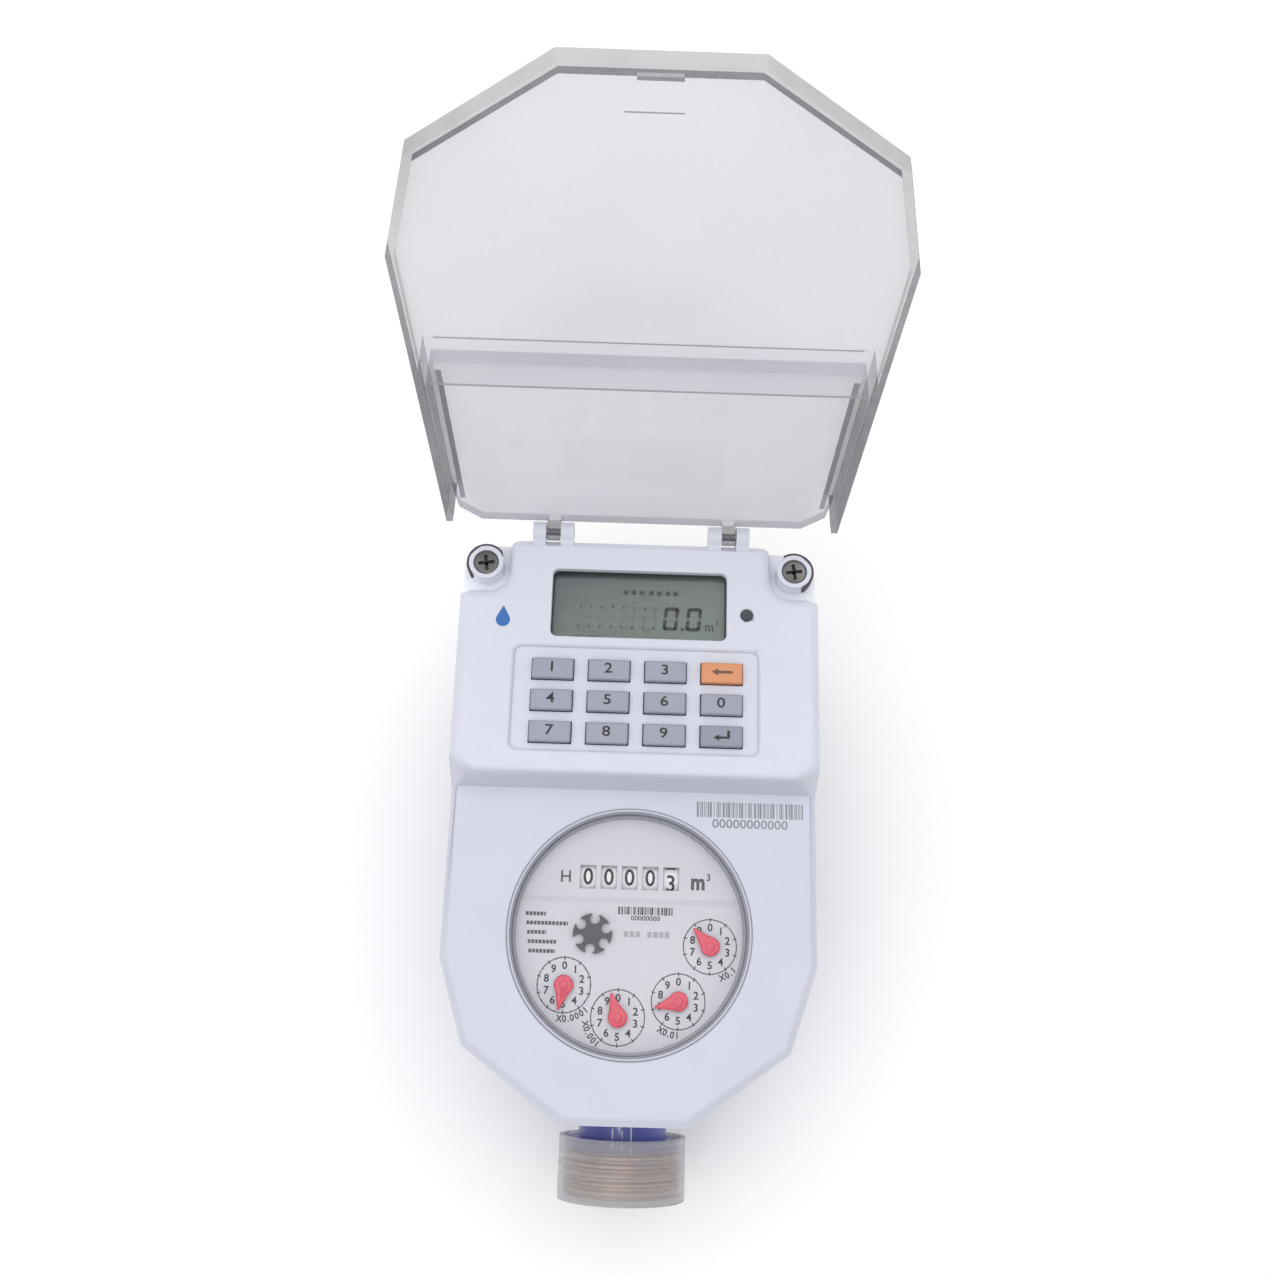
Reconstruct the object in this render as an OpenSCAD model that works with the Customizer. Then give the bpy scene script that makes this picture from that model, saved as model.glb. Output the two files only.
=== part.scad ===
// Prepaid water meter, DN20: brass multi-jet body with a built-in ball valve, a dry register
// with number drums and four decimal pointers, a keypad housing and a clear hinged lid.
// Origin: middle of the feet under the register axis. +Y runs along the pipe to the outlet
// and the lid hinge, +Z is up, +X is right as the dial is read. Millimetres.

/* [Pipe body] */
// Height of the pipe axis over the feet
pipe_z = 32; // [31.5:0.1:32.5]
// Register axis to the end face of the capped inlet
inlet_len = 70.6; // [70.2:0.1:71]
// Register axis to the end face of the outlet
outlet_len = 124.4; // [123:0.1:125]
// Major diameter of the G1B pipe thread at the outlet
thread_d = 33.25; // [33.2:0.01:33.3]
// Major diameter of the thread under the cap, cut near the low end of class B
inlet_thread_d = 32.9; // [32.89:0.01:32.9]
// Pitch of the pipe thread
thread_pitch = 2.309; // [2.3:0.001:2.32]
// Bore of the pipe ends
bore_d = 20; // [19.9:0.1:20]

/* [Housing] */
// Height of the register platform
face_z = 82; // [82:0.1:82.4]
// Rise from the register platform to the keypad platform
step_h = 10.4; // [10.3:0.1:10.5]
// Bevel along the top edges
bevel = 2; // [1.6:0.1:2]
// Housing wall thickness
wall = 2.4; // [2.2:0.1:2.4]
// Height of the joint between the housing halves
split_z = 60; // [59:0.5:61]

/* [Keypad and display] */
// Key spacing across
key_pitch_x = 15.6; // [15.4:0.1:15.8]
// Key spacing along the meter
key_pitch_y = 8.9; // [8.8:0.1:9]
// Key cap width
key_w = 11.4; // [11:0.1:11.6]
// Key cap height as read
key_h = 5.8; // [5.6:0.1:6]
// Key travel
key_travel = 1; // [0.8:0.1:1]
// Display window width
lcd_w = 49.2; // [48:0.2:50]
// Display window height as read
lcd_h = 19.9; // [19:0.1:20]

/* [Lid] */
// Opening angle of the lid at its stop
lid_open = 100; // [95:1:105]
// Lid panel thickness
lid_t = 2.3; // [2:0.1:2.4]
// Lid side wall thickness
lid_wall = 1.8; // [1.6:0.1:1.8]

/* [Register] */
// Radius of the circle of pointer arbors
pointer_r = 22.2; // [22:0.1:22.3]
// Gear module of the register train
train_module = 0.43; // [0.428:0.001:0.432]
// Radius of the number drums
drum_r = 9.7; // [9.5:0.1:9.7]
// Drum spacing
drum_pitch = 5.72; // [5.7:0.01:5.8]

/* [Hidden] */
$fn = 48;
cut = 1;
fit = 0.05;
gap = 0.3;
corner_step = 0.02;
bore_r = bore_d / 2;
thread_r = thread_d / 2;
inlet_thread_r = inlet_thread_d / 2;
thread_depth = 1.2;
crest_half = 0.3;
flank_half = 0.95;
neck_r = 12.8;
collar_r = 16;
collar_t = 3;
thread_turns = 5;
thread_len = thread_turns * thread_pitch;
cap_r = 18.5;
cap_open_y = -55.4;
bowl_r = 40;
bowl_in = 36;
shoulder_r = 42;
foot_r = 34;
shoulder_z = 46;
rim_z = 53.9;
bowl_floor = 10;
cup_r = 33;
cup_in = 31;
cup_top = 44;
cup_floor_t = 2;
spindle_r = 1.2;
magnet_r = 7;
port_w = 6;
ring_top = 57.5;
valve_y = 78;
valve_block_r = 13.6;
tower_r = 8;
tower_h = 18;
ball_r = 9.5;
ball_bore_r = 7;
stem_r = 2.5;
key_z = face_z + step_h;
slope_y0 = 38;
slope_y1 = 41.2;
corner_y = 45;
corner_cut = [0.8, -1, 0.71];
hinge_y = 110.6;
hinge_z = face_z + 9.1;
pin_r = 1;
lug_r = 2.8;
lug_w = 3.7;
lug_in = 19.2;
knuckle_in = 23.2;
knuckle_r = 2.5;
can_r = 32.8;
can_in = 31.3;
dial_top = face_z - 5.4;
dial_t = 0.8;
glass_z = face_z - 2.8;
can_floor = 53.5;
boss_x = 43.9;
boss_y = 100.7;
boss_r = 4.9;
boss_drop = 1;
head_drop = 3.2;
head_t = 1.7;
screw_r = 1.5;
screw_tip_z = 64;
post_r = 4;
post_top = 74;
head_r = 3.5;
pocket_x = 37.2;
pocket_y = 92.7;
pocket_z = key_z - 7;
pocket_corner_r = 6;
lcd_y = 89.1;
sensor_x = 30.3;
sensor_y = 86.9;
key_mid_y = 60.8;
key_rows_y = [for (r = [1:-1:-1]) key_mid_y + r * key_pitch_y];
recess = [-34.2, 47.1, 33.4, 76.1];
recess_d = 1.2;
key_rise = 0.8;
key_foot = 3.6;
mat_t = 1;
board_z = 82.6;
board_t = 1.6;
lcd_t = 4.2;
window_t = 1.2;
// Right half of the platform's top edge, from the front to the back corner
top_half = [[15.9, -46.9], [41.6, -28.8], [48.6, -7.6], [48.6, 101], [43.8, 105.8]];
top_edge = concat([[-15.9, -46.9]], top_half, [for (i = [4:-1:1]) [-top_half[i][0], top_half[i][1]]]);
// Outer outline of the closed lid
lid_edge = [[-17.8, -50.4], [17.8, -50.4], [46.0, -30.3], [53.2, -5.5], [52.8, 92.1],
            [-52.8, 92.1], [-53.2, -5.5], [-46.0, -30.3]];
lid_step_y = 36.6;
lid_in_z = face_z + 1.9;
lid_key_z = lid_in_z + 10.4;
lid_rim_z = face_z;
lid_corner = [[51.8, 103.7], [45.8, 109.8]];

// Register train
star = [-10, -0.5];
first_angle = -7.8;
angle_step = -44.3;
function on_circle(k) = pointer_r * [cos(first_angle + k * angle_step),
                                     sin(first_angle + k * angle_step)];
pointers = [on_circle(0), on_circle(1), on_circle(2), on_circle(3)];
pointer_turn = [-316, -255, -343, -191];
star_turn = 22;
wheel_n = 30;
fast_pinion_n = 9;
slow_pinion_n = 10;
fast_reach = train_module * (fast_pinion_n + wheel_n) / 2;
slow_reach = train_module * (slow_pinion_n + wheel_n) / 2;
idlers = [between(star, pointers[3], fast_reach, slow_reach),
          for (k = [3:-1:1]) between(pointers[k], pointers[k - 1], fast_reach, slow_reach)];
// Arbors in the order of the drive: star, then an idler and a pointer for each decimal place
arbors = [star, idlers[0], pointers[3], idlers[1], pointers[2], idlers[2], pointers[1], idlers[3],
          pointers[0]];
// Three gear levels, used in turn, so that no wheel meets the next pinion but one
level = [66.6, 68.6, 70.6];
gear_t = 1.2;
drive_n = 20;
drive_module = norm(star) / drive_n;
drive_z = 59.8;
lower_plate = [62.4, 63.6];
upper_plate = [73.2, 74.2];
arbor_r = 0.5;
drum_y = 14.8;
drum_z = 65.6;
drum_x = -11.8;
drum_w = 5.2;
drum_shaft_r = 0.9;
shaft_y = 2.6;
spur_n = 12;
drum_gear_n = 24;
spur_module = 2 * (drum_y - shaft_y) / (spur_n + drum_gear_n);
pillars = [[-22, 19], [22, 19], [-28.5, 3], [28.3, 8.5]];

// ---------------------------------------------------------------- helpers

// Unit normal to the right of the way from a to b
function side_normal(a, b) = [b[1] - a[1], a[0] - b[0]] / norm(b - a);

// Convex outline moved outwards by d, with sharp corners
function grown(pts, d) = [for (i = [0:len(pts) - 1])
    let (n = len(pts),
         before = side_normal(pts[(i + n - 1) % n], pts[i]),
         after = side_normal(pts[i], pts[(i + 1) % n]))
    pts[i] + d * (before + after) / (1 + before * after)];

// Prism with its top edges bevelled by c, except the plain one. Odd edges are cut a hair
// deeper, so that no more than three planes meet at a corner.
module bevelled(pts, z0, z1, c, plain) {
    n = len(pts);
    difference() {
        translate([0, 0, z0]) linear_extrude(z1 - z0) polygon(pts);
        for (i = [0:n - 1]) if (i != plain) {
            run = pts[(i + 1) % n] - pts[i];
            deep = c + (i % 2) * corner_step;
            translate([pts[i][0], pts[i][1], z1]) rotate([0, 0, atan2(run[1], run[0])])
                translate([-2 * c, 0, 0]) rotate([90, 0, 90])
                    linear_extrude(norm(run) + 4 * c) polygon([[-cut, cut], [-cut, -deep - cut],
                                                               [deep + cut, cut]]);
        }
    }
}

// Cylinder along +Y from y0 to y1, on a line through x, z
module along_y(r, y0, y1, x = 0, z = pipe_z) {
    translate([x, y0, z]) rotate([-90, 0, 0]) cylinder(r = r, h = y1 - y0);
}

// Cylinder along +X from x0 to x1, on a line through y, z
module along_x(r, x0, x1, y, z) {
    translate([x0, y, z]) rotate([0, 90, 0]) cylinder(r = r, h = x1 - x0);
}

// Box from one corner to the other
module span(a, b) {
    translate(a) cube(b - a);
}

// Spur gear outline: tapered teeth with plenty of backlash
function gear_outline(n, m) = [for (i = [0:n - 1]) each
    let (a = 360 / n, tip = m * (n / 2 + 0.7), root = m * (n / 2 - 1.1))
    [for (p = [[root, -0.29], [tip, -0.1], [tip, 0.1], [root, 0.29]])
        p[0] * [cos(a * (i + p[1])), sin(a * (i + p[1]))]]];

module gear(n, m, z0, t, turn = 0) {
    translate([0, 0, z0]) rotate([0, 0, turn]) linear_extrude(t) polygon(gear_outline(n, m));
}

function heading(a, b) = atan2(b[1] - a[1], b[0] - a[0]);

// Turn that puts a tooth, or a gap, of a gear on the line from a to b
function tooth_on(a, b) = heading(a, b);
function gap_on(a, b, n) = heading(a, b) + 180 / n;

// Arbor between a and b: at distance to_a from one and to_b from the other
function between(a, b, to_a, to_b) =
    let (d = norm(b - a), u = (b - a) / d, x = (d * d + to_a * to_a - to_b * to_b) / (2 * d),
         h = sqrt(max(0, to_a * to_a - x * x)))
    a + x * u + h * [u[1], -u[0]];

// ---------------------------------------------------------------- water side

// Rings at the thread's pitch stand in for its helix
module thread_rings(y0, way, crest_r) {
    root_r = crest_r - thread_depth;
    for (i = [0:thread_turns - 1])
        translate([0, y0 + way * thread_pitch * (i + 0.5), pipe_z]) rotate([90, 0, 0])
            rotate_extrude() polygon([[root_r - 0.5, -flank_half], [root_r, -flank_half],
                                      [crest_r, -crest_half], [crest_r, crest_half],
                                      [root_r, flank_half], [root_r - 0.5, flank_half]]);
}

// Threaded end of the pipe; way is the sign of Y towards its open end
module pipe_end(end_y, way, crest_r) {
    y_thread = end_y - way * thread_len;
    y_collar = y_thread - way * collar_t;
    along_y(crest_r - thread_depth, min(end_y, y_thread), max(end_y, y_thread));
    thread_rings(end_y, -way, crest_r);
    along_y(collar_r, min(y_thread, y_collar), max(y_thread, y_collar));
}

module body_casting() color([0.16, 0.22, 0.62]) difference() {
    union() {
        flare_top = 14;
        cylinder(r = foot_r, h = 3);
        translate([0, 0, 2]) cylinder(r1 = foot_r, r2 = shoulder_r, h = flare_top - 2);
        translate([0, 0, flare_top]) cylinder(r = shoulder_r, h = shoulder_z - flare_top);
        translate([0, 0, shoulder_z - cut]) cylinder(r = bowl_r, h = rim_z - shoulder_z + cut);
        along_y(neck_r, -inlet_len + thread_len, outlet_len - thread_len);
        along_y(valve_block_r, valve_y - 18, valve_y + 18);
        translate([0, valve_y, pipe_z]) cylinder(r = tower_r, h = tower_h);
        span([-14, valve_y - 16, 0], [14, valve_y + 16, pipe_z]);
        pipe_end(-inlet_len, -1, inlet_thread_r);
        pipe_end(outlet_len, 1, thread_r);
    }
    translate([0, 0, bowl_floor]) cylinder(r = bowl_in, h = rim_z);
    along_y(bore_r, -inlet_len - cut, -30);
    along_y(bore_r, 30, outlet_len + cut);
    translate([0, valve_y, pipe_z]) cylinder(r = stem_r + fit, h = 30);
}

module inlet_strainer() color([0.85, 0.85, 0.8]) difference() {
    along_y(bore_r - fit, -66, -44);
    along_y(bore_r - 1.1, -66 - cut, -45);
    for (a = [0:30:150], y = [-61, -54]) translate([0, y, pipe_z]) rotate([0, a, 0])
        span([-12, -2.4, -1.2], [12, 2.4, 1.2]);
}

module thread_cap() color([0.75, 0.76, 0.78]) difference() {
    along_y(cap_r, -inlet_len - 1.8, cap_open_y);
    along_y(thread_r + gap, -inlet_len - gap, cap_open_y + cut);
}

module chamber_cup() color([0.9, 0.9, 0.9]) difference() {
    translate([0, 0, bowl_floor]) cylinder(r = cup_r, h = cup_top - bowl_floor);
    difference() {
        translate([0, 0, bowl_floor + cup_floor_t]) cylinder(r = cup_in, h = cup_top);
        translate([0, 0, bowl_floor + 1]) cylinder(r = 3, h = 6);
    }
    inlet_ports = [20, 27];
    outlet_ports = [33, 40];
    for (a = [0:30:330]) rotate([0, 0, a])
        span([25, -port_w / 2, inlet_ports[0]], [40, port_w / 2, inlet_ports[1]]);
    for (a = [15:30:345]) rotate([0, 0, a])
        span([25, -port_w / 2, outlet_ports[0]], [40, port_w / 2, outlet_ports[1]]);
    translate([0, 0, 14]) cylinder(r = spindle_r + fit, h = 10);
}

module chamber_cover() color([0.85, 0.85, 0.87]) difference() {
    translate([0, 0, cup_top]) cylinder(r = bowl_in - 0.2, h = 2.5);
    translate([0, 0, cup_top - cut]) cylinder(r = spindle_r + fit, h = 5);
}

module impeller() color([0.95, 0.95, 0.92]) {
    translate([0, 0, 14.5]) cylinder(r = spindle_r, h = 34);
    translate([0, 0, 18]) cylinder(r = 6, h = 22);
    for (a = [0:45:315]) rotate([0, 0, a]) span([5, -0.8, 19], [28, 0.8, 39]);
    translate([0, 0, 47.2]) cylinder(r = magnet_r, h = 3.6);
}

module body_oring() color([0.1, 0.1, 0.1]) translate([0, 0, 52.3]) rotate_extrude()
    translate([34.4, 0]) circle(r = 1.45, $fn = 24);

module lock_ring() color([0.72, 0.6, 0.3]) difference() {
    ring_z = 49;
    translate([0, 0, ring_z]) cylinder(r = 43.5, h = ring_top - ring_z);
    translate([0, 0, ring_z - cut]) cylinder(r = bowl_r + fit, h = 7.6);
    translate([0, 0, ring_z - cut]) cylinder(r = 34.5, h = 12);
    for (a = [0:20:340]) rotate([0, 0, a]) span([42.6, -1.5, ring_z - cut], [45, 1.5, 60]);
}

// ---------------------------------------------------------------- register case

module register_can() color([0.8, 0.82, 0.84]) difference() {
    union() {
        translate([0, 0, 51.6]) cylinder(r = can_r, h = dial_top - 51.6);
        translate([0, 0, rim_z]) cylinder(r = 38.5, h = 1.6);
    }
    translate([0, 0, can_floor]) cylinder(r = can_in, h = 30);
}

module bezel_ring() color([0.45, 0.46, 0.48]) rotate_extrude() polygon([
    [30.9, dial_top], [can_r, dial_top], [can_r, face_z + 0.2], [32.2, face_z + 0.2],
    [31.7, face_z - 0.6], [31.7, glass_z], [31.1, glass_z - 0.2]]);

module register_glass() color([0.85, 0.9, 0.92, 0.3]) translate([0, 0, glass_z])
    cylinder(r = 31.65, h = 2);

module dial_plate() color([0.95, 0.96, 0.96]) difference() {
    translate([0, 0, dial_top - dial_t]) cylinder(r = can_in - 0.1, h = dial_t);
    for (i = [0:4]) span([drum_x + i * drum_pitch - 2.1, drum_y - 3.1, dial_top - 2],
                         [drum_x + i * drum_pitch + 2.1, drum_y + 3.1, dial_top + 1]);
    for (p = concat(pointers, [star])) translate([p[0], p[1], dial_top - 2])
        cylinder(r = 0.95, h = 4);
}

module movement_frame() color([0.8, 0.8, 0.78]) {
    difference() {
        union() {
            for (p = [lower_plate, upper_plate]) translate([0, 0, p[0]])
                cylinder(r = can_in - 0.2, h = p[1] - p[0]);
            for (p = pillars) translate([p[0], p[1], can_floor])
                cylinder(r = 1.2, h = upper_plate[1] - can_floor);
            span([-17.6, 11.8, lower_plate[0]], [-16.4, 17.8, upper_plate[1]]);
            span([16.7, 11.8, lower_plate[0]], [17.9, 17.8, upper_plate[1]]);
            for (x = [12.8, 24]) span([x, 0.8, lower_plate[0]], [x + 1, 4.4, drum_z + 1.8]);
        }
        span([-16.4, 3.6, 50], [16.7, 26.4, lower_plate[1] + 0.01]);
        span([-16.4, 3.6, upper_plate[0] - 0.01], [16.7, 26.4, 80]);
        span([14.2, -2.2, 50], [23.8, 9, lower_plate[1] + 0.01]);
        along_x(drum_shaft_r, -20, 20, drum_y, drum_z);
        along_x(arbor_r + fit, 12, 26, shaft_y, drum_z);
        for (p = concat(arbors, [[0, 0]]))
            translate([p[0], p[1], 50]) cylinder(r = arbor_r + fit, h = 40);
    }
}

// ---------------------------------------------------------------- register train

// Wheel on arbor j, with a gap turned to the pinion that drives it
module arbor_wheel(j) {
    gear(wheel_n, train_module, level[j % 3], gear_t, gap_on(arbors[j], arbors[j - 1], wheel_n));
}

// Pinion on arbor j, with a tooth turned to the wheel that it drives
module arbor_pinion(j) {
    n = j % 2 == 0 ? fast_pinion_n : slow_pinion_n;
    gear(n, train_module, level[(j + 1) % 3], gear_t, tooth_on(arbors[j], arbors[j + 1]));
}

module magnet_arbor() color([0.3, 0.3, 0.32]) {
    translate([0, 0, 54.6]) cylinder(r = magnet_r, h = 4);
    translate([0, 0, 54]) cylinder(r = arbor_r, h = lower_plate[1] - 54);
    gear(drive_n, drive_module, drive_z, gear_t, tooth_on([0, 0], star));
}

// Six-lobed flow star with round notches
module star_blade() {
    difference() {
        circle(r = 5.3);
        for (a = [0:60:300]) rotate(a + star_turn) {
            translate([3.95, 0]) circle(r = 1.35, $fn = 24);
            translate([3.95, -0.95]) square([3, 1.9]);
        }
    }
}

module star_wheel() color([0.25, 0.25, 0.3]) translate([star[0], star[1], 0]) {
    gear(drive_n, drive_module, drive_z, gear_t, gap_on(star, [0, 0], drive_n));
    translate([0, 0, drive_z - 0.6]) cylinder(r = arbor_r, h = dial_top + 1.2 - drive_z);
    arbor_pinion(0);
    translate([0, 0, dial_top + 0.5]) linear_extrude(0.8) star_blade();
}

// Idler i stands between pointer arbors; its sleeve joins wheel and pinion
module idler(i) color([0.85, 0.75, 0.4]) {
    j = 2 * i + 1;
    translate([idlers[i][0], idlers[i][1], 0]) {
        translate([0, 0, lower_plate[0]]) cylinder(r = arbor_r, h = upper_plate[1] - lower_plate[0]);
        translate([0, 0, level[0]]) cylinder(r = 1.3, h = level[2] + gear_t - level[0]);
        arbor_wheel(j);
        arbor_pinion(j);
    }
}

// Red pointer: round hub with a tapered tail
module pointer_blade() {
    circle(r = 2.6);
    polygon([[-1.9, 1.75], [1.9, 1.75], [0.2, 6.5], [-0.2, 6.5]]);
}

// Arbor of one decimal place: k is 0 for tenths and 3 for ten-thousandths
module pointer(k) color([0.9, 0.2, 0.28]) {
    j = 8 - 2 * k;
    foot_z = k == 0 ? lower_plate[0] + 0.4 : lower_plate[0];
    translate([pointers[k][0], pointers[k][1], 0]) {
        translate([0, 0, foot_z]) cylinder(r = arbor_r, h = dial_top + 1.5 - foot_z);
        arbor_wheel(j);
        if (k > 0) arbor_pinion(j);
        if (k == 0) worm();
        translate([0, 0, dial_top + 0.6]) linear_extrude(1) rotate(pointer_turn[k]) pointer_blade();
    }
}

worm_wheel_n = 10;
worm_wheel_r = 3.7;
worm_pitch = 2 * PI * worm_wheel_r / worm_wheel_n;

// Worm on the tenths arbor: rings at the pitch of the worm wheel stand in for the helix
module worm() {
    translate([0, 0, drum_z - 1.9]) cylinder(r = 0.9, h = 3.8);
    for (z = [-0.5, 0.5]) translate([0, 0, drum_z + z * worm_pitch])
        rotate_extrude() polygon([[0.3, -0.6], [1.2, -0.6], [1.8, -0.2], [1.8, 0.2], [1.2, 0.6],
                                  [0.3, 0.6]]);
}

module transfer_shaft() color([0.85, 0.75, 0.4]) translate([0, shaft_y, drum_z]) rotate([0, 90, 0]) {
    translate([0, 0, 12.8]) cylinder(r = arbor_r, h = 12.2);
    gear(spur_n, spur_module, 14.9, 0.8, tooth_on([0, 0], [0, 1]));
    gear(worm_wheel_n, 2 * worm_wheel_r / worm_wheel_n, 21.4, 1.2, -90);
}

module drum_shaft() color([0.75, 0.76, 0.78])
    along_x(drum_shaft_r, -17.6, 17.9, drum_y, drum_z);

// Number drum i, 0 at the left; the units drum carries the driven gear
module drum(i) color([0.95, 0.95, 0.95]) difference() {
    x = drum_x + i * drum_pitch;
    union() {
        along_x(drum_r, x - drum_w / 2, x + drum_w / 2, drum_y, drum_z);
        if (i == 4) {
            along_x(2, x, 15.8, drum_y, drum_z);
            translate([14.7, drum_y, drum_z]) rotate([0, 90, 0])
                gear(drum_gear_n, spur_module, 0, 1.2, gap_on([0, 0], [0, -1], drum_gear_n));
        }
    }
    along_x(drum_shaft_r + fit, x - 5, x + 8, drum_y, drum_z);
}

// ---------------------------------------------------------------- valve and drive

module valve_ball() color([0.8, 0.81, 0.83]) difference() {
    translate([0, valve_y, pipe_z]) sphere(r = ball_r, $fn = 64);
    along_y(ball_bore_r, valve_y - 20, valve_y + 20);
    translate([0, valve_y, pipe_z]) span([-1.3, -12, ball_r - 1.8], [1.3, 12, ball_r + 2]);
}

module valve_stem() color([0.7, 0.7, 0.72]) translate([0, valve_y, 0]) {
    translate([0, 0, pipe_z + ball_r + 0.2]) cylinder(r = stem_r, h = 19.4);
    span([-1.2, -2.2, pipe_z + ball_r - 1.7], [1.2, 2.2, pipe_z + ball_r + 0.4]);
    gear(stem_gear_n, valve_module, drive_gear_z, drive_gear_t, tooth_on([0, 0], [1, 0]));
}

seat_y = 6.5;
module valve_seats() color([0.95, 0.95, 0.93]) difference() {
    for (s = [-1, 1]) along_y(bore_r - 0.02, valve_y + s * seat_y - 3, valve_y + s * seat_y + 3);
    along_y(ball_bore_r, valve_y - 20, valve_y + 20);
    translate([0, valve_y, pipe_z]) sphere(r = ball_r + 0.15, $fn = 64);
}

module gland_nut() color([0.75, 0.62, 0.3]) difference() {
    translate([0, valve_y, pipe_z + tower_h]) cylinder(r = 6, h = 4, $fn = 6);
    translate([0, valve_y, pipe_z]) cylinder(r = stem_r + fit, h = 30);
}

motor_x = 16;
motor_z = 62;
motor_shaft_r = 1;
drive_gear_z = 57.6;
drive_gear_t = 3;
stem_gear_n = 30;
motor_gear_n = 10;
valve_module = 0.8;

module gear_motor() color([0.6, 0.62, 0.65]) difference() {
    union() {
        translate([motor_x, valve_y, motor_z]) cylinder(r = 8, h = 19);
        span([motor_x - 9, valve_y - 9, motor_z], [motor_x + 9, valve_y + 9, motor_z + 4]);
    }
    translate([motor_x, valve_y, motor_z - cut]) cylinder(r = motor_shaft_r + fit, h = 6);
}

module motor_pinion() color([0.9, 0.88, 0.8]) translate([motor_x, valve_y, 0]) {
    translate([0, 0, 57]) cylinder(r = motor_shaft_r, h = 9);
    gear(motor_gear_n, valve_module, drive_gear_z, drive_gear_t, gap_on([0, 0], [-1, 0], motor_gear_n));
}

battery_r = 8.4;
battery_y = 56;
battery_z = 69;
module battery() color([0.2, 0.45, 0.3]) along_x(battery_r, -25, 25, battery_y, battery_z);

// ---------------------------------------------------------------- housing

module lower_housing() color([0.9, 0.91, 0.93]) {
    difference() {
        translate([0, 0, shoulder_z]) linear_extrude(split_z - shoulder_z)
            polygon(grown(top_edge, bevel));
        translate([0, 0, shoulder_z + wall]) linear_extrude(split_z)
            polygon(grown(top_edge, bevel - wall));
        translate([0, 0, shoulder_z - cut]) cylinder(r = bowl_r + fit, h = 10);
        translate([0, valve_y, shoulder_z - cut]) cylinder(r = tower_r + 0.4, h = 10);
    }
    for (s = [-1, 1]) translate([s * boss_x, boss_y, shoulder_z + 1]) difference() {
        cylinder(r = post_r, h = post_top - 1 - shoulder_z);
        translate([0, 0, 15]) cylinder(r = screw_r + fit, h = 30);
    }
}

// Open corner over a cover screw, on side s, with d more room all round
module pocket(s, d = 0) {
    r = pocket_corner_r + d;
    centre = [pocket_x + pocket_corner_r, pocket_y + pocket_corner_r];
    translate([0, 0, pocket_z - d]) linear_extrude(20) scale_x(s) {
        translate([centre[0], centre[1] - r]) square([30, 40]);
        translate([centre[0] - r, centre[1]]) square([30, 40]);
        translate(centre) circle(r = r);
    }
}

// Right-hand shape for s = 1 and its mirror image for s = -1
module scale_x(s) {
    if (s > 0) children();
    else mirror([1, 0]) children();
}

// Everything beyond the plane through p with the given outward normal
module beyond(p, normal) {
    big = 150;
    n = normal / norm(normal);
    translate(p) rotate([0, acos(n[2]), atan2(n[1], n[0])]) translate([-big / 2, -big / 2, 0]) cube(big);
}

// Register part and keypad part, which run into each other over the sloped band
module shell_outer() {
    outer = grown(top_edge, bevel);
    w = outer[4][0];
    run = slope_y1 - slope_y0;
    register_outline = [for (i = [0:3]) outer[i], [w, slope_y0 + 2], [-w, slope_y0 + 2], outer[8],
                        outer[9]];
    keypad_outline = [[-w, slope_y0 - 2], [w, slope_y0 - 2], for (i = [4:7]) outer[i]];
    bevelled(register_outline, split_z, face_z, bevel, 4);
    difference() {
        bevelled(keypad_outline, split_z, key_z, bevel, 0);
        beyond([0, slope_y0, face_z], [0, -step_h, run]);
        for (s = [-1, 1])
            beyond([s * (w - bevel), corner_y, key_z], [s * corner_cut[0], corner_cut[1], corner_cut[2]]);
    }
}

module shell_inner() {
    inside = grown(top_edge, bevel - wall);
    w = inside[4][0];
    front_y = slope_y1 + 1.4;
    corner = [7, 5.4];
    translate([0, 0, split_z - cut]) linear_extrude(face_z - wall - split_z + cut)
        polygon(inside);
    translate([0, 0, split_z]) linear_extrude(key_z - wall - split_z)
        polygon([[-w, front_y + corner[1]], [corner[0] - w, front_y], [w - corner[0], front_y],
                 [w, front_y + corner[1]], for (i = [4:7]) inside[i]]);
}

module key_aperture(x, y) {
    span([x - key_w / 2 - 0.25, y - key_h / 2 - 0.25, key_z - 5],
         [x + key_w / 2 + 0.25, y + key_h / 2 + 0.25, key_z + 5]);
}

function key_x(c) = (c - 1.5) * key_pitch_x;

module lug(x0) {
    difference() {
        union() {
            along_x(lug_r, x0, x0 + lug_w, hinge_y, hinge_z);
            span([x0, 106, hinge_z - lug_r], [x0 + lug_w, hinge_y, hinge_z + 1]);
            span([x0, 105.4, hinge_z - lug_r - 4], [x0 + lug_w, 107.9, hinge_z - 1]);
        }
        along_x(pin_r, x0 - cut, x0 + lug_w + cut, hinge_y, hinge_z);
    }
}

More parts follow.
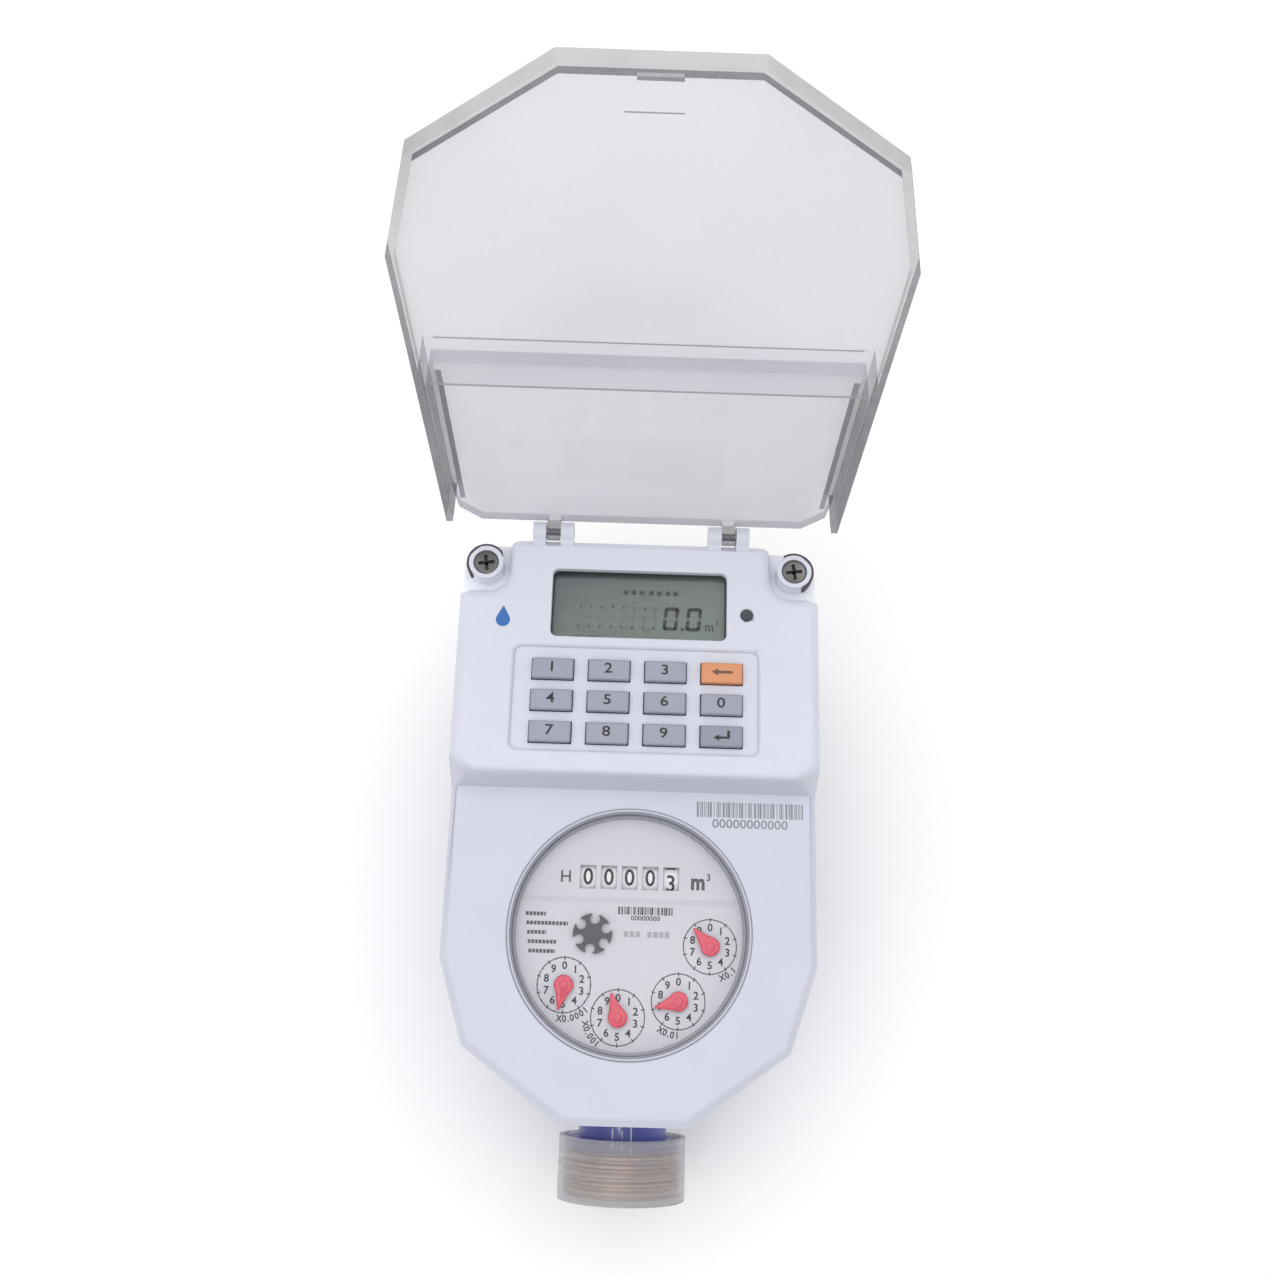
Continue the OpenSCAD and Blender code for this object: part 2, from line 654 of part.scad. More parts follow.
module upper_housing() color([0.9, 0.91, 0.94]) {
    difference() {
        shell_outer();
        difference() {
            shell_inner();
            for (s = [-1, 1]) pocket(s, wall);
            for (s = [-1, 1]) translate([s * boss_x, boss_y, post_top + 0.2])
                cylinder(r = boss_r, h = 20);
        }
        for (s = [-1, 1]) difference() {
            pocket(s);
            translate([s * boss_x, boss_y, pocket_z - cut])
                cylinder(r = boss_r, h = key_z - boss_drop - pocket_z + cut);
        }
        for (s = [-1, 1]) {
            translate([s * boss_x, boss_y, split_z - cut])
                cylinder(r = post_r + gap, h = post_top + 0.2 - split_z + cut);
            translate([s * boss_x, boss_y, 60]) cylinder(r = screw_r + 0.2, h = 40);
            translate([s * boss_x, boss_y, key_z - head_drop]) cylinder(r = head_r + 0.15, h = 5);
        }
        translate([0, 0, face_z - 10]) cylinder(r = can_r + 0.1, h = 20);
        round_opening(recess, 2, key_z - recess_d);
        round_opening([-lcd_w / 2, lcd_y - lcd_h / 2, lcd_w / 2, lcd_y + lcd_h / 2], 1.8, key_z - 5);
        translate([sensor_x, sensor_y, key_z - 5]) cylinder(r = 1.75, h = 10);
        for (c = [0:3], r = [0:2]) key_aperture(key_x(c), key_rows_y[r]);
    }
    outer_lug = knuckle_in + 4;
    for (x = [lug_in, outer_lug, -lug_in - lug_w, -outer_lug - lug_w]) lug(x);
}

// Cut with round corners, open at the top: b holds its low x, low y, high x and high y
module round_opening(b, r, z0) {
    translate([0, 0, z0]) linear_extrude(10) {
        translate([b[0] + r, b[1]]) square([b[2] - b[0] - 2 * r, b[3] - b[1]]);
        translate([b[0], b[1] + r]) square([b[2] - b[0], b[3] - b[1] - 2 * r]);
        for (x = [b[0] + r, b[2] - r], y = [b[1] + r, b[3] - r]) translate([x, y]) circle(r = r);
    }
}

// ---------------------------------------------------------------- electronics

module circuit_board() color([0.1, 0.4, 0.2]) difference() {
    span([-40, 46.5, board_z], [40, 103, board_z + board_t]);
    for (s = [-1, 1]) translate([s * 42, 96, 82]) span([-11, -10, -cut], [11, 13, 5]);
}

module lcd_module() color([0.5, 0.56, 0.54])
    span([-27, lcd_y - 11.5, board_z + board_t], [27, lcd_y + 11.5, board_z + board_t + lcd_t]);

module lcd_window() color([0.8, 0.85, 0.85, 0.4])
    span([-27, lcd_y - 11.6, key_z - wall - window_t], [27, lcd_y + 11.6, key_z - wall]);

module sensor_lens() color([0.35, 0.4, 0.42]) {
    translate([sensor_x, sensor_y, key_z - wall - 1]) cylinder(r = 2.6, h = 1);
    translate([sensor_x, sensor_y, key_z - wall - cut]) cylinder(r = 1.7, h = wall + 0.7);
}

mat_z = key_z - key_foot - key_travel - gap - mat_t;
module key_mat() color([0.75, 0.77, 0.8]) {
    span([-33, 47.4, mat_z], [33, 74.2, mat_z + mat_t]);
    for (y = [50, 58, 66], x = [-28, 28]) translate([x, y, board_z + board_t])
        cylinder(r = 1.2, h = mat_z - board_z - board_t);
}

module key(c, r, shade) color(shade) translate([key_x(c), key_rows_y[r], 0]) {
    hull() {
        span([-key_w / 2, -key_h / 2, key_z - 3], [key_w / 2, key_h / 2, key_z + 0.4]);
        span([-key_w / 2 + 0.4, -key_h / 2 + 0.4, key_z], [key_w / 2 - 0.4, key_h / 2 - 0.4,
                                                           key_z + key_rise]);
    }
    span([-key_w / 2 - 0.8, -key_h / 2 - 0.8, key_z - key_foot], [key_w / 2 + 0.8, key_h / 2 + 0.8,
                                                             key_z - wall - 0.3]);
}

grey_key = [0.72, 0.74, 0.78];
orange_key = [0.95, 0.6, 0.35];
dark_key = [0.5, 0.51, 0.54];

// ---------------------------------------------------------------- fasteners, pins and lid

module cover_screws() color([0.65, 0.66, 0.68]) for (s = [-1, 1])
    translate([s * boss_x, boss_y, 0]) difference() {
        union() {
            translate([0, 0, key_z - head_drop]) cylinder(r = head_r, h = head_t);
            translate([0, 0, screw_tip_z]) cylinder(r = screw_r, h = key_z - 3 - screw_tip_z);
        }
        for (a = [0, 90]) rotate([0, 0, a + 8])
            span([-2.3, -0.5, key_z - head_drop + 0.6], [2.3, 0.5, key_z + cut]);
    }

module boss_bands() color([0.25, 0.26, 0.28]) for (s = [-1, 1])
    translate([s * boss_x, boss_y, pocket_z + 1.6]) difference() {
        cylinder(r = boss_r + 0.7, h = 4.1);
        translate([0, 0, -1]) cylinder(r = boss_r + 0.05, h = 8);
        rotate([0, 0, s > 0 ? 300 : 40]) span([-20, -20, -1], [20, 0, 8]);
    }

pin_in = lug_in + 0.2;
pin_out = knuckle_in + 7.5;
module hinge_pins() color([0.75, 0.76, 0.78]) for (s = [-1, 1])
    along_x(pin_r - 0.01, s > 0 ? pin_in : -pin_out, s > 0 ? pin_out : -pin_in, hinge_y, hinge_z);

// Closed lid, hinge side at +Y
module closed_lid() {
    inner = grown(lid_edge, -lid_wall);
    key_top = lid_key_z + lid_t;
    w = lid_edge[4][0];
    front = [for (p = lid_edge) [p[0], min(p[1], lid_step_y)]];
    difference() {
        union() {
            translate([0, 0, lid_rim_z]) linear_extrude(lid_in_z + lid_t - lid_rim_z) polygon(front);
            translate([0, 0, lid_rim_z]) linear_extrude(key_top - lid_rim_z) polygon([
                [-w, lid_step_y - lid_t], [w, lid_step_y - lid_t], [lid_edge[4][0], lid_edge[4][1]],
                [lid_edge[5][0], lid_edge[5][1]]]);
            translate([0, 0, lid_key_z]) linear_extrude(lid_t) polygon([
                [-w, lid_edge[4][1] - 1], [w, lid_edge[4][1] - 1], lid_corner[0], lid_corner[1],
                [-lid_corner[1][0], lid_corner[1][1]], [-lid_corner[0][0], lid_corner[0][1]]]);
        }
        translate([0, 0, lid_rim_z - cut]) linear_extrude(lid_in_z - lid_rim_z + cut)
            polygon([for (p = inner) [p[0], p[1] > 50 ? 130 : p[1]]]);
        span([-w + lid_wall, lid_step_y, lid_rim_z - cut], [w - lid_wall, 130, lid_key_z]);
    }
    for (s = [-1, 1]) {
        x0 = s > 0 ? knuckle_in : -knuckle_in - lug_w;
        along_x(knuckle_r, x0, x0 + lug_w, hinge_y, hinge_z);
        span([x0, hinge_y - 2.4, hinge_z], [x0 + lug_w, hinge_y + 2.4, lid_key_z + 0.6]);
        span([x0, lid_corner[1][1] - 3, lid_key_z], [x0 + lug_w, hinge_y + 2.4, lid_key_z + lid_t]);
    }
    // Latch tab on the front rim
    rim_y = lid_edge[0][1] + lid_wall;
    span([-4, rim_y - cut, lid_rim_z], [4, rim_y + 0.8, lid_rim_z + 1]);
}

module clear_lid() color([0.85, 0.87, 0.9, 0.35])
    translate([0, hinge_y, hinge_z]) rotate([-lid_open, 0, 0]) translate([0, -hinge_y, -hinge_z])
        difference() {
            closed_lid();
            along_x(pin_r + fit, -60, 60, hinge_y, hinge_z);
        }

body_casting();
inlet_strainer();
thread_cap();
chamber_cup();
chamber_cover();
impeller();
body_oring();
lock_ring();
register_can();
bezel_ring();
register_glass();
dial_plate();
movement_frame();
magnet_arbor();
star_wheel();
idler(0);  // idler_0
idler(1);  // idler_1
idler(2);  // idler_2
idler(3);  // idler_3
pointer(0);  // pointer_tenth
pointer(1);  // pointer_hundredth
pointer(2);  // pointer_thousandth
pointer(3);  // pointer_ten_thousandth
transfer_shaft();
drum_shaft();
drum(0);  // drum_1
drum(1);  // drum_2
drum(2);  // drum_3
drum(3);  // drum_4
drum(4);  // drum_5
valve_ball();
valve_stem();
valve_seats();
gland_nut();
gear_motor();
motor_pinion();
battery();
lower_housing();
upper_housing();
circuit_board();
lcd_module();
lcd_window();
sensor_lens();
key_mat();
key(0, 0, grey_key);  // key_1
key(1, 0, grey_key);  // key_2
key(2, 0, grey_key);  // key_3
key(3, 0, orange_key);  // key_back
key(0, 1, grey_key);  // key_4
key(1, 1, grey_key);  // key_5
key(2, 1, grey_key);  // key_6
key(3, 1, grey_key);  // key_0
key(0, 2, grey_key);  // key_7
key(1, 2, grey_key);  // key_8
key(2, 2, grey_key);  // key_9
key(3, 2, dark_key);  // key_enter
cover_screws();
boss_bands();
hinge_pins();
clear_lid();
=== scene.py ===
import math
import bpy
import bmesh
from mathutils import Matrix, Vector


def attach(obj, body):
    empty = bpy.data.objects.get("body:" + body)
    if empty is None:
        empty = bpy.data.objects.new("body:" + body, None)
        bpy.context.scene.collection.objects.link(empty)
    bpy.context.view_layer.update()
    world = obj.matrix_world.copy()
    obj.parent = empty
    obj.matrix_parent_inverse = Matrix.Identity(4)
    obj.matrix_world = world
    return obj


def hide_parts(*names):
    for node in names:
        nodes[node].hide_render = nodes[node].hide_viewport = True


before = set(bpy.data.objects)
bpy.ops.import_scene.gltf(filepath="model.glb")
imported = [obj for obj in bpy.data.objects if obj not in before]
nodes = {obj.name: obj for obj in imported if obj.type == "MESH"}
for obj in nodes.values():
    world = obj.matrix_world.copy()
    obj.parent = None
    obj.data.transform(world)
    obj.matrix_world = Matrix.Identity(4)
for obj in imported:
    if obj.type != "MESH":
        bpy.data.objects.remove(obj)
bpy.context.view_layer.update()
scene = bpy.context.scene
MM = 0.001


def polar(centre, radius, degrees):
    """Point on a circle, counted from +X."""
    a = math.radians(degrees)
    return centre[0] + radius * math.cos(a), centre[1] + radius * math.sin(a)


# Main levels and places of the model, in millimetres
FACE = 82.0
KEYS = 92.4
DIAL = 76.6
LCD_TOP = 88.4
# Drums: y and z of the shaft, radius, and the middle of each
DRUM = (14.8, 65.6, 9.7)
DRUM_X = [-11.8 + 5.72 * i for i in range(5)]
POINTERS = [polar((0, 0), 22.2, -7.8 - 44.3 * k) for k in range(4)]
TURNS = [-316, -255, -343, -191]
POINTER_BODIES = ["pointer_tenth", "pointer_hundredth", "pointer_thousandth",
                  "pointer_ten_thousandth"]
# Open corners over the screws: inner edges, and the middle of the screw boss
POCKET = (37.2, 92.7)
BOSS = (43.9, 100.7)
# Lid: hinge axis, opening angle, and the faces of the step in the closed lid
HINGE = (110.6, 91.1)
LID_OPEN = 100
STEP_OUTSIDE, STEP_INSIDE = 34.3, 36.6
STEP_HALF = 50.4
KNUCKLE_X = 25
# Ends of the blue lacquer along the pipe, in metres
LACQUER = (-0.0590, 0.1129)

# ------------------------------------------------------------ camera and light
cam_data = bpy.data.cameras.new("camera")
cam_data.sensor_width = 36
cam_data.lens = 34.12
cam_data.clip_start = 0.01
cam = bpy.data.objects.new("camera", cam_data)
cam.location = (-0.00212, -0.01847, 0.41503)
cam.rotation_mode = "ZYX"
cam.rotation_euler = [math.radians(a) for a in (16.84, -0.345, 1.792)]
scene.collection.objects.link(cam)
scene.camera = cam
scene.view_settings.view_transform = "Standard"
LIGHT_AIM = Vector((0, 0.03, 0.05))


def area_light(name, place, size, power):
    data = bpy.data.lights.new(name, "AREA")
    data.shape = "DISK"
    data.size = size
    data.energy = power
    o = bpy.data.objects.new(name, data)
    o.location = place
    o.rotation_mode = "QUATERNION"
    o.rotation_quaternion = (LIGHT_AIM - Vector(place)).to_track_quat("-Z", "Y")
    scene.collection.objects.link(o)


area_light("key_light", (0.0, 0.42, 1.4), 1.6, 8.6)
area_light("fill_light", (-0.6, -0.4, 1.1), 1.0, 1.8)
world = bpy.data.worlds.new("studio")
world.use_nodes = True
world.node_tree.nodes["Background"].inputs[0].default_value = (1.0, 1.0, 1.0, 1)
world.node_tree.nodes["Background"].inputs[1].default_value = 0.82
scene.world = world


# ------------------------------------------------------------ materials
class Shader:
    """A Principled material with a few ready-made procedural details."""

    def __init__(self, name, colour, rough=0.45, metal=0.0, **sockets):
        self.mat = bpy.data.materials.new(name)
        self.mat.use_nodes = True
        self.tree = self.mat.node_tree
        self.bsdf = self.tree.nodes["Principled BSDF"]
        self.colour = tuple(colour) + (1,)
        self.bsdf.inputs["Base Color"].default_value = self.colour
        self.bsdf.inputs["Roughness"].default_value = rough
        self.bsdf.inputs["Metallic"].default_value = metal
        for key, value in sockets.items():
            self.bsdf.inputs[key.replace("_", " ")].default_value = value
        self.place = self.tree.nodes.new("ShaderNodeTexCoord").outputs["Object"]
        self.height = None

    def node(self, kind, **values):
        n = self.tree.nodes.new(kind)
        for key, value in values.items():
            if hasattr(n, key):
                setattr(n, key, value)
            else:
                n.inputs[key.replace("_", " ")].default_value = value
        return n

    def link(self, a, b):
        self.tree.links.new(a, b)

    def noise(self, scale, detail=3.0, stretch=(1, 1, 1), turn=(0, 0, 0)):
        m = self.node("ShaderNodeMapping")
        m.inputs["Scale"].default_value = stretch
        m.inputs["Rotation"].default_value = turn
        self.link(self.place, m.inputs["Vector"])
        n = self.node("ShaderNodeTexNoise", Scale=scale, Detail=detail)
        self.link(m.outputs[0], n.inputs["Vector"])
        return n.outputs["Fac"]

    def ramp(self, value, stops):
        r = self.node("ShaderNodeValToRGB")
        e = r.color_ramp.elements
        while len(e) < len(stops):
            e.new(0.5)
        for item, (at, colour) in zip(e, stops):
            item.position = at
            item.color = tuple(colour) + (1,)
        self.link(value, r.inputs[0])
        return r.outputs[0]

    def grey(self, value, stops):
        return self.ramp(value, [(at, (v, v, v)) for at, v in stops])

    def mix(self, factor, a, b):
        m = self.node("ShaderNodeMix", data_type="RGBA")
        self.link(factor, m.inputs[0])
        for item, socket in ((a, m.inputs[6]), (b, m.inputs[7])):
            if isinstance(item, tuple):
                socket.default_value = item + (1,)
            else:
                self.link(item, socket)
        return m.outputs[2]

    def axis(self, which):
        s = self.node("ShaderNodeSeparateXYZ")
        self.link(self.place, s.inputs[0])
        return s.outputs[which]

    def math(self, kind, a, b):
        m = self.node("ShaderNodeMath", operation=kind)
        for item, socket in ((a, m.inputs[0]), (b, m.inputs[1])):
            if isinstance(item, (int, float)):
                socket.default_value = item
            else:
                self.link(item, socket)
        return m.outputs[0]

    def paint(self, colour):
        self.link(colour, self.bsdf.inputs["Base Color"])
        return self

    def mottled(self, scale, amount):
        """Slow change of tone over the surface."""
        c = self.colour[:3]
        low = tuple(v * (1 - amount) for v in c)
        high = tuple(min(1, v * (1 + amount * 0.5)) for v in c)
        self.paint(self.ramp(self.noise(scale, 5), [(0.3, low), (0.7, high)]))
        return self

    def bump(self, value, depth, strength=1.0):
        b = self.node("ShaderNodeBump", Strength=strength, Distance=depth)
        self.link(value, b.inputs["Height"])
        if self.height is not None:
            self.link(self.height, b.inputs["Normal"])
        self.height = b.outputs[0]
        self.link(self.height, self.bsdf.inputs["Normal"])
        return self

    def grain(self, scale=2600, depth=0.00002, strength=0.35):
        """Fine grain of a moulded or cast surface."""
        return self.bump(self.noise(scale, 4), depth, strength)

    def scuffed(self, low, high, scale=140, stretch=(1, 1, 1)):
        """Roughness that changes over the surface."""
        r = self.grey(self.noise(scale, 6, stretch), [(0.3, low), (0.7, high)])
        self.link(r, self.bsdf.inputs["Roughness"])
        return self


def plastic(name, colour, rough=0.42, grain=2600, amount=0.05):
    return Shader(name, colour, rough).mottled(70, amount).grain(grain).scuffed(
        rough - 0.07, rough + 0.09)


def metal(name, colour, rough=0.32, stretch=(1, 1, 8), amount=0.12):
    s = Shader(name, colour, rough, metal=1.0).mottled(90, amount).scuffed(
        rough - 0.1, rough + 0.12, 260, stretch)
    return s.bump(s.noise(900, 3, stretch), 0.00002, 0.3)


def casting():
    s = Shader("blue_casting", (0.035, 0.06, 0.36), 0.35, Coat_Weight=0.35, Coat_Roughness=0.2)
    lacquer = s.ramp(s.noise(45, 6), [(0.3, (0.035, 0.045, 0.25)), (0.7, (0.075, 0.09, 0.40))])
    scratch_and_glint = s.grey(s.noise(220, 5, (1, 0.16, 1), (0, 0, 0.5)), [(0.68, 0.0), (0.72, 1.0)])
    x = s.axis(0)
    # Painted highlights: three thin broken light streaks along the pipe at fixed x, joined to the
    # random scratches
    for glint_x in (-0.0029, -0.0002, 0.0024):
        line = s.math("LESS_THAN", s.math("ABSOLUTE", s.math("SUBTRACT", x, glint_x), 0.0), 0.00022)
        line = s.math("MULTIPLY", line, s.grey(s.noise(330, 3), [(0.46, 0.0), (0.54, 0.9)]))
        scratch_and_glint = s.math("MAXIMUM", scratch_and_glint, line)
    worn_and_glint = s.mix(scratch_and_glint, lacquer, (0.55, 0.58, 0.7))
    brass = s.ramp(s.noise(240, 5, (1, 6, 1)), [(0.3, (0.42, 0.22, 0.10)), (0.7, (0.80, 0.55, 0.28))])
    y = s.axis(1)
    low = s.math("LESS_THAN", y, LACQUER[0])
    high = s.math("GREATER_THAN", y, LACQUER[1])
    thread = s.math("MAXIMUM", low, high)
    s.paint(s.mix(thread, worn_and_glint, brass))
    s.link(thread, s.bsdf.inputs["Metallic"])
    s.scuffed(0.25, 0.5, 160)
    s.bump(s.noise(500, 6), 0.00015, 0.5)
    s.bump(s.noise(2400, 4), 0.00004, 0.4)
    return s


def see_through(s, stops, haze=0.04, share=None):
    """Clear plastic: thin face on, thicker as the surface turns away."""
    facing = s.node("ShaderNodeLayerWeight", Blend=0.5).outputs["Facing"]
    cloud = s.grey(s.noise(30, 4), [(0.35, 0.0), (0.8, haze)])
    alpha = s.math("ADD", s.grey(facing, stops), cloud)
    if share is not None:
        alpha = s.math("MULTIPLY", alpha, share)
    s.link(alpha, s.bsdf.inputs["Alpha"])
    return s


def lid_plastic():
    """Panels of the lid, clearer in a stripe beside the step where two layers overlap."""
    s = Shader("lid_polycarbonate", (0.40, 0.405, 0.49), 0.05, IOR=1.5)
    height = s.math("MULTIPLY", s.math("SUBTRACT", s.axis(2), 0.15), 16.0)
    share = s.grey(height, [(0.22, 1.0), (0.24, 0.35), (0.35, 0.35), (0.38, 1.0)])
    see_through(s, [(0.0, 0.34), (0.4, 0.52), (0.7, 0.64), (0.9, 0.8), (1.0, 0.92)], 0.04, share)
    s.mottled(25, 0.06).scuffed(0.03, 0.1, 60)
    return s.bump(s.noise(120, 3), 0.00006, 0.1)


def lid_edge():
    """Rims and corners of the lid, where light is caught inside the plastic."""
    s = Shader("lid_edge", (0.19, 0.19, 0.22), 0.25, IOR=1.15)
    see_through(s, [(0.0, 0.62), (0.6, 0.8), (1.0, 0.97)], 0.1)
    s.mottled(60, 0.35).scuffed(0.1, 0.25, 160)
    return s.bump(s.noise(260, 3), 0.00006, 0.2)


def lid_wall():
    """Side walls of the lid, seen through their length."""
    s = Shader("lid_wall", (0.14, 0.14, 0.165), 0.25, IOR=1.06)
    see_through(s, [(0.0, 0.4), (0.5, 0.5), (0.8, 0.6), (1.0, 0.8)], 0.12)
    s.paint(s.ramp(s.noise(70, 4, (1, 1, 5)), [(0.3, (0.10, 0.10, 0.12)), (0.7, (0.18, 0.18, 0.21))]))
    s.scuffed(0.08, 0.2, 110)
    return s.bump(s.noise(180, 3, (1, 1, 3)), 0.00008, 0.2)


def lid_ledge():
    """Step and outer faces of the lid panel, as clear as glass."""
    s = Shader("lid_ledge", (0.60, 0.605, 0.70), 0.06, IOR=1.5)
    see_through(s, [(0.0, 0.02), (0.6, 0.05), (1.0, 0.4)], 0.02)
    s.mottled(40, 0.06).scuffed(0.05, 0.12, 90)
    return s.bump(s.noise(150, 3), 0.00005, 0.1)


def clear(name, tint, alpha, rough=0.05):
    s = Shader(name, tint, rough, IOR=1.5)
    facing = s.node("ShaderNodeLayerWeight", Blend=0.5).outputs["Facing"]
    s.link(s.grey(facing, [(0.0, alpha), (0.6, alpha * 1.6), (1.0, min(1, alpha * 6))]),
           s.bsdf.inputs["Alpha"])
    return s.scuffed(rough, rough + 0.06, 90)


def cap_plastic():
    s = Shader("cap_polyethylene", (0.46, 0.45, 0.475), 0.3, IOR=1.5)
    see_through(s, [(0.0, 0.33), (0.5, 0.4), (0.75, 0.6), (1.0, 0.9)], 0.05)
    # Rings round the cap: a fine bump, and lighter bands painted as highlights of the thread crests
    # beneath
    bands_and_glints = s.noise(900, 3, (0.02, 1.6, 0.02))
    s.paint(s.ramp(bands_and_glints, [(0.35, (0.40, 0.385, 0.405)), (0.65, (0.53, 0.525, 0.55))]))
    s.scuffed(0.22, 0.38, 200, (0.1, 3, 0.1))
    s.bump(bands_and_glints, 0.00005, 0.5)
    return s.bump(s.noise(600, 4, (1, 4, 1)), 0.00003, 0.25)


def pointer_plastic():
    s = Shader("pointer_red", (0.62, 0.04, 0.09), 0.3, Coat_Weight=0.4, Coat_Roughness=0.12)
    red = s.ramp(s.noise(700, 4), [(0.3, (0.56, 0.03, 0.07)), (0.7, (0.68, 0.05, 0.10))])
    below = s.math("LESS_THAN", s.axis(2), 0.0762)
    s.paint(s.mix(below, red, (0.75, 0.72, 0.58)))
    return s.grain(2600, 0.00001)


def lcd_surface():
    s = Shader("lcd_polariser", (0.15, 0.18, 0.17), 0.22, Coat_Weight=0.4, Coat_Roughness=0.06)
    # Painted shadow: the display darkens diagonally towards its top left, with a little noise
    x = s.math("MULTIPLY", s.axis(0), 9.0)
    y = s.math("MULTIPLY", s.axis(1), -38.0)
    painted_shadow_slope = s.math("ADD", s.math("ADD", x, y), 3.75)
    painted_shadow_slope = s.math("ADD", painted_shadow_slope, s.math("MULTIPLY", s.noise(60, 3), 0.3))
    s.paint(s.ramp(painted_shadow_slope, [(0.0, (0.05, 0.06, 0.07)), (0.45, (0.11, 0.137, 0.13)),
                           (1.0, (0.165, 0.205, 0.175))]))
    return s.grain(3600, 0.00001, 0.2)


def housing_plastic():
    """Moulded white plastic, with painted light on the keypad platform, more towards its back, and on
    the floors of its corners.
    """
    s = plastic("housing_white", (0.54, 0.56, 0.64), 0.42, 3200, 0.02)
    base = s.ramp(s.noise(70, 5), [(0.3, (0.53, 0.55, 0.628)), (0.7, (0.55, 0.572, 0.652))])
    # Painted light: the keypad platform is lighter, and lighter still towards its back
    raised = s.math("GREATER_THAN", s.axis(2), (KEYS - 2.2) * MM)
    away = s.math("MULTIPLY", s.math("SUBTRACT", s.axis(1), 0.07), 25.0)
    top = s.ramp(away, [(0.0, (0.60, 0.622, 0.705)), (0.9, (0.66, 0.683, 0.765))])
    # Painted light: the floors of the open corners over the screws are lighter
    outside = s.math("GREATER_THAN", s.math("ABSOLUTE", s.axis(0), 0.0), POCKET[0] * MM)
    corner = s.math("MULTIPLY", outside, s.math("GREATER_THAN", s.axis(1), POCKET[1] * MM))
    corner = s.math("MULTIPLY", corner, s.math("GREATER_THAN", s.axis(2), (KEYS - 7.1) * MM))
    low = s.mix(corner, base, (0.86, 0.88, 0.94))
    return s.paint(s.mix(raised, low, top))


def bezel_plastic():
    """Grey ring with painted shade: two thin darker rings, painted by radius, at its inner and outer
    edges.
    """
    s = plastic("bezel_grey", (0.24, 0.25, 0.28), 0.3, 1800)
    x, y = s.axis(0), s.axis(1)
    r = s.math("SQRT", s.math("ADD", s.math("MULTIPLY", x, x), s.math("MULTIPLY", y, y)), 0.0)
    # Painted shade of the ring's edges, set by radius
    place = s.math("MULTIPLY", s.math("SUBTRACT", r, 0.0308), 500.0)
    return s.paint(s.ramp(place, [(0.0, (0.32, 0.33, 0.38)), (0.33, (0.30, 0.31, 0.35)),
                                  (0.39, (0.09, 0.095, 0.11)), (0.45, (0.20, 0.205, 0.235)),
                                  (0.52, (0.38, 0.39, 0.45)), (0.60, (0.34, 0.35, 0.40)),
                                  (0.65, (0.12, 0.125, 0.145)), (0.70, (0.40, 0.415, 0.475)),
                                  (0.95, (0.47, 0.485, 0.555))]))


